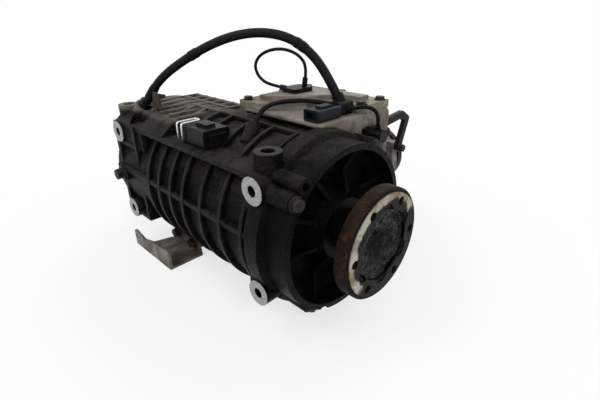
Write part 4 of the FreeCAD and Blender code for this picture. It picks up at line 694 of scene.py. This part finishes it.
class BendClip(bpy.types.Operator):
    """Bends the spring wire round the front connector"""
    bl_idname = "differential.bend_clip"
    bl_label = "Bend the connector's clip"

    def execute(self, context):
        """The wire's path runs up one side, over the top and back beside it."""
        sizes = context.scene.wire_sizes
        (x0, y0, z0), (x1, y1, z1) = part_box("connector_clip")
        inset = sizes.wire
        x0, x1, y0, y1, z1 = x0 + inset, x1 - inset, y0 + inset, y1 - inset, z1 - inset
        low = z0 + 0.002
        corners = [(x0, y0, low), (x0, y0, z1), (x0, y1, z1), (x1, y1, z1), (x1, y0, z1), (x1, y0, low)]
        path = rounded_path(corners, sizes.bend)
        radius = np.full(len(path), sizes.wire)
        grid = tube(path, radius, carried_frame(path), 16)
        put_surface("connector_spring_wire", grid, "housing", "bright_wire", ("connector_clip",))
        return {"FINISHED"}


# Stage

def seen_rays(tree):
    """1 or more on rays from the camera, off a glossy face or through a clear one; 0 on rays that light."""
    rays = tree.nodes.new("ShaderNodeLightPath")
    total = rays.outputs["Is Camera Ray"]
    for name in ("Is Glossy Ray", "Is Transmission Ray"):
        both = tree.nodes.new("ShaderNodeMath")
        tree.links.new(total, both.inputs[0])
        tree.links.new(rays.outputs[name], both.inputs[1])
        total = both.outputs[0]
    return total


def white_floor():
    """Pale floor: white to the camera and in reflections, and matt under the part's shadow."""
    f = Finish("pale_floor")
    f.shader.inputs["Base Color"].default_value = (0.93, 0.93, 0.93, 1.0)
    f.shader.inputs["Roughness"].default_value = 0.9
    away = f.radius_from(SHADOW_X, SHADOW_Y).step(SHADOW_IN, SHADOW_OUT)
    white = f.node("ShaderNodeEmission", {}, Color=(1.0, 1.0, 1.0, 1.0), Strength=1.0)
    pick = f.node("ShaderNodeMixShader", {}, Value(f, seen_rays(f.tree)) * (away * 0.3 + 0.7))
    f.tree.links.new(f.shader.outputs[0], pick.inputs[1])
    f.tree.links.new(white.outputs[0], pick.inputs[2])
    f.tree.links.new(pick.outputs[0], f.tree.nodes["Material Output"].inputs["Surface"])
    return f.material


def white_world(strength):
    """White surroundings that light with the given strength and are seen, or mirrored, as plain white."""
    world = bpy.data.worlds.new("studio")
    world.use_nodes = True
    tree = world.node_tree
    sky, white = tree.nodes["Background"], tree.nodes.new("ShaderNodeBackground")
    for node, value in ((sky, strength), (white, 1.0)):
        node.inputs["Color"].default_value = (1.0, 1.0, 1.0, 1.0)
        node.inputs["Strength"].default_value = value
    pick = tree.nodes.new("ShaderNodeMixShader")
    for source, target in zip((seen_rays(tree), sky.outputs[0], white.outputs[0]), pick.inputs):
        tree.links.new(source, target)
    tree.links.new(pick.outputs[0], tree.nodes["World Output"].inputs["Surface"])
    return world


def camera_matrix(azimuth, elevation, roll, place):
    """Camera that looks back along the direction of azimuth and elevation, rolled about it."""
    a, e, r = (math.radians(angle) for angle in (azimuth, elevation, roll))
    back = Vector((math.sin(a) * math.cos(e), -math.cos(a) * math.cos(e), math.sin(e)))
    right = (-back).cross(Vector((0.0, 0.0, 1.0))).normalized()
    up = right.cross(-back)
    right, up = right * math.cos(r) + up * math.sin(r), up * math.cos(r) - right * math.sin(r)
    return Matrix.Translation(place) @ Matrix((right, up, back)).transposed().to_4x4()


class SetStage(bpy.types.Operator):
    """Sets the floor, the white surroundings, the soft lamps and the camera"""
    bl_idname = "differential.set_stage"
    bl_label = "Set the stage"

    def execute(self, context):
        sizes = context.scene.stage_sizes
        scene = context.scene
        scene.view_settings.view_transform = "Standard"
        low, far = CAD_BOX[0][2], FLOOR_HALF
        mesh = bpy.data.meshes.new("floor")
        corners = [(-far, -far, low), (far, -far, low), (far, far, low), (-far, far, low)]
        mesh.from_pydata(corners, [], [(0, 1, 2, 3)])
        floor = bpy.data.objects.new("floor", mesh)
        context.collection.objects.link(floor)
        mesh.materials.append(white_floor())
        scene.world = white_world(sizes.sky)
        for name, power, width, place in (("key", sizes.key, KEY_WIDTH, KEY_PLACE),
                                          ("fill", sizes.fill, FILL_WIDTH, FILL_PLACE),
                                          ("back", sizes.fill, BACK_WIDTH, BACK_PLACE)):
            light = bpy.data.lights.new(name, "AREA")
            light.energy = power
            light.size = width
            lamp = bpy.data.objects.new(name, light)
            lamp.location = place
            lamp.rotation_euler = (Vector(LAMP_AIM) - Vector(place)).to_track_quat("-Z", "Y").to_euler()
            context.collection.objects.link(lamp)
        lens = bpy.data.cameras.new("camera")
        lens.sensor_width = SENSOR_WIDTH
        lens.lens = LENS
        lens.clip_start = 0.01
        camera = bpy.data.objects.new("camera", lens)
        context.collection.objects.link(camera)
        camera.matrix_world = camera_matrix(CAMERA_AZIMUTH, CAMERA_ELEVATION, CAMERA_ROLL, CAMERA_PLACE)
        scene.camera = camera
        return {"FINISHED"}


FINISHES = {}
GROUPS = (
    ("casting_sizes", CastingSizes, DressNodes), ("grease_sizes", GreaseSizes, FillCup),
    ("cord_sizes", CordSizes, LayCords), ("wire_sizes", WireSizes, BendClip),
    ("stage_sizes", StageSizes, SetStage),
)


class DifferentialPanel(bpy.types.Panel):
    """Lists the operators with their settings"""
    bl_idname = "VIEW3D_PT_differential"
    bl_label = "Rear differential"
    bl_space_type = "VIEW_3D"
    bl_region_type = "UI"
    bl_category = "Differential"

    def draw(self, context):
        for key, settings, operator in GROUPS:
            box = self.layout.box()
            box.operator(operator.bl_idname)
            for name in settings.__annotations__:
                box.prop(getattr(context.scene, key), name)


def register():
    for key, settings, operator in GROUPS:
        bpy.utils.register_class(settings)
        bpy.utils.register_class(operator)
        setattr(bpy.types.Scene, key, PointerProperty(type=settings))
    bpy.utils.register_class(DifferentialPanel)


def unregister():
    bpy.utils.unregister_class(DifferentialPanel)
    for key, settings, operator in reversed(GROUPS):
        delattr(bpy.types.Scene, key)
        bpy.utils.unregister_class(operator)
        bpy.utils.unregister_class(settings)


def main():
    register()
    bpy.ops.differential.dress_nodes()
    bpy.ops.differential.fill_cup()
    bpy.ops.differential.lay_cords()
    bpy.ops.differential.bend_clip()
    bpy.ops.differential.set_stage()


if __name__ == "__main__":
    main()
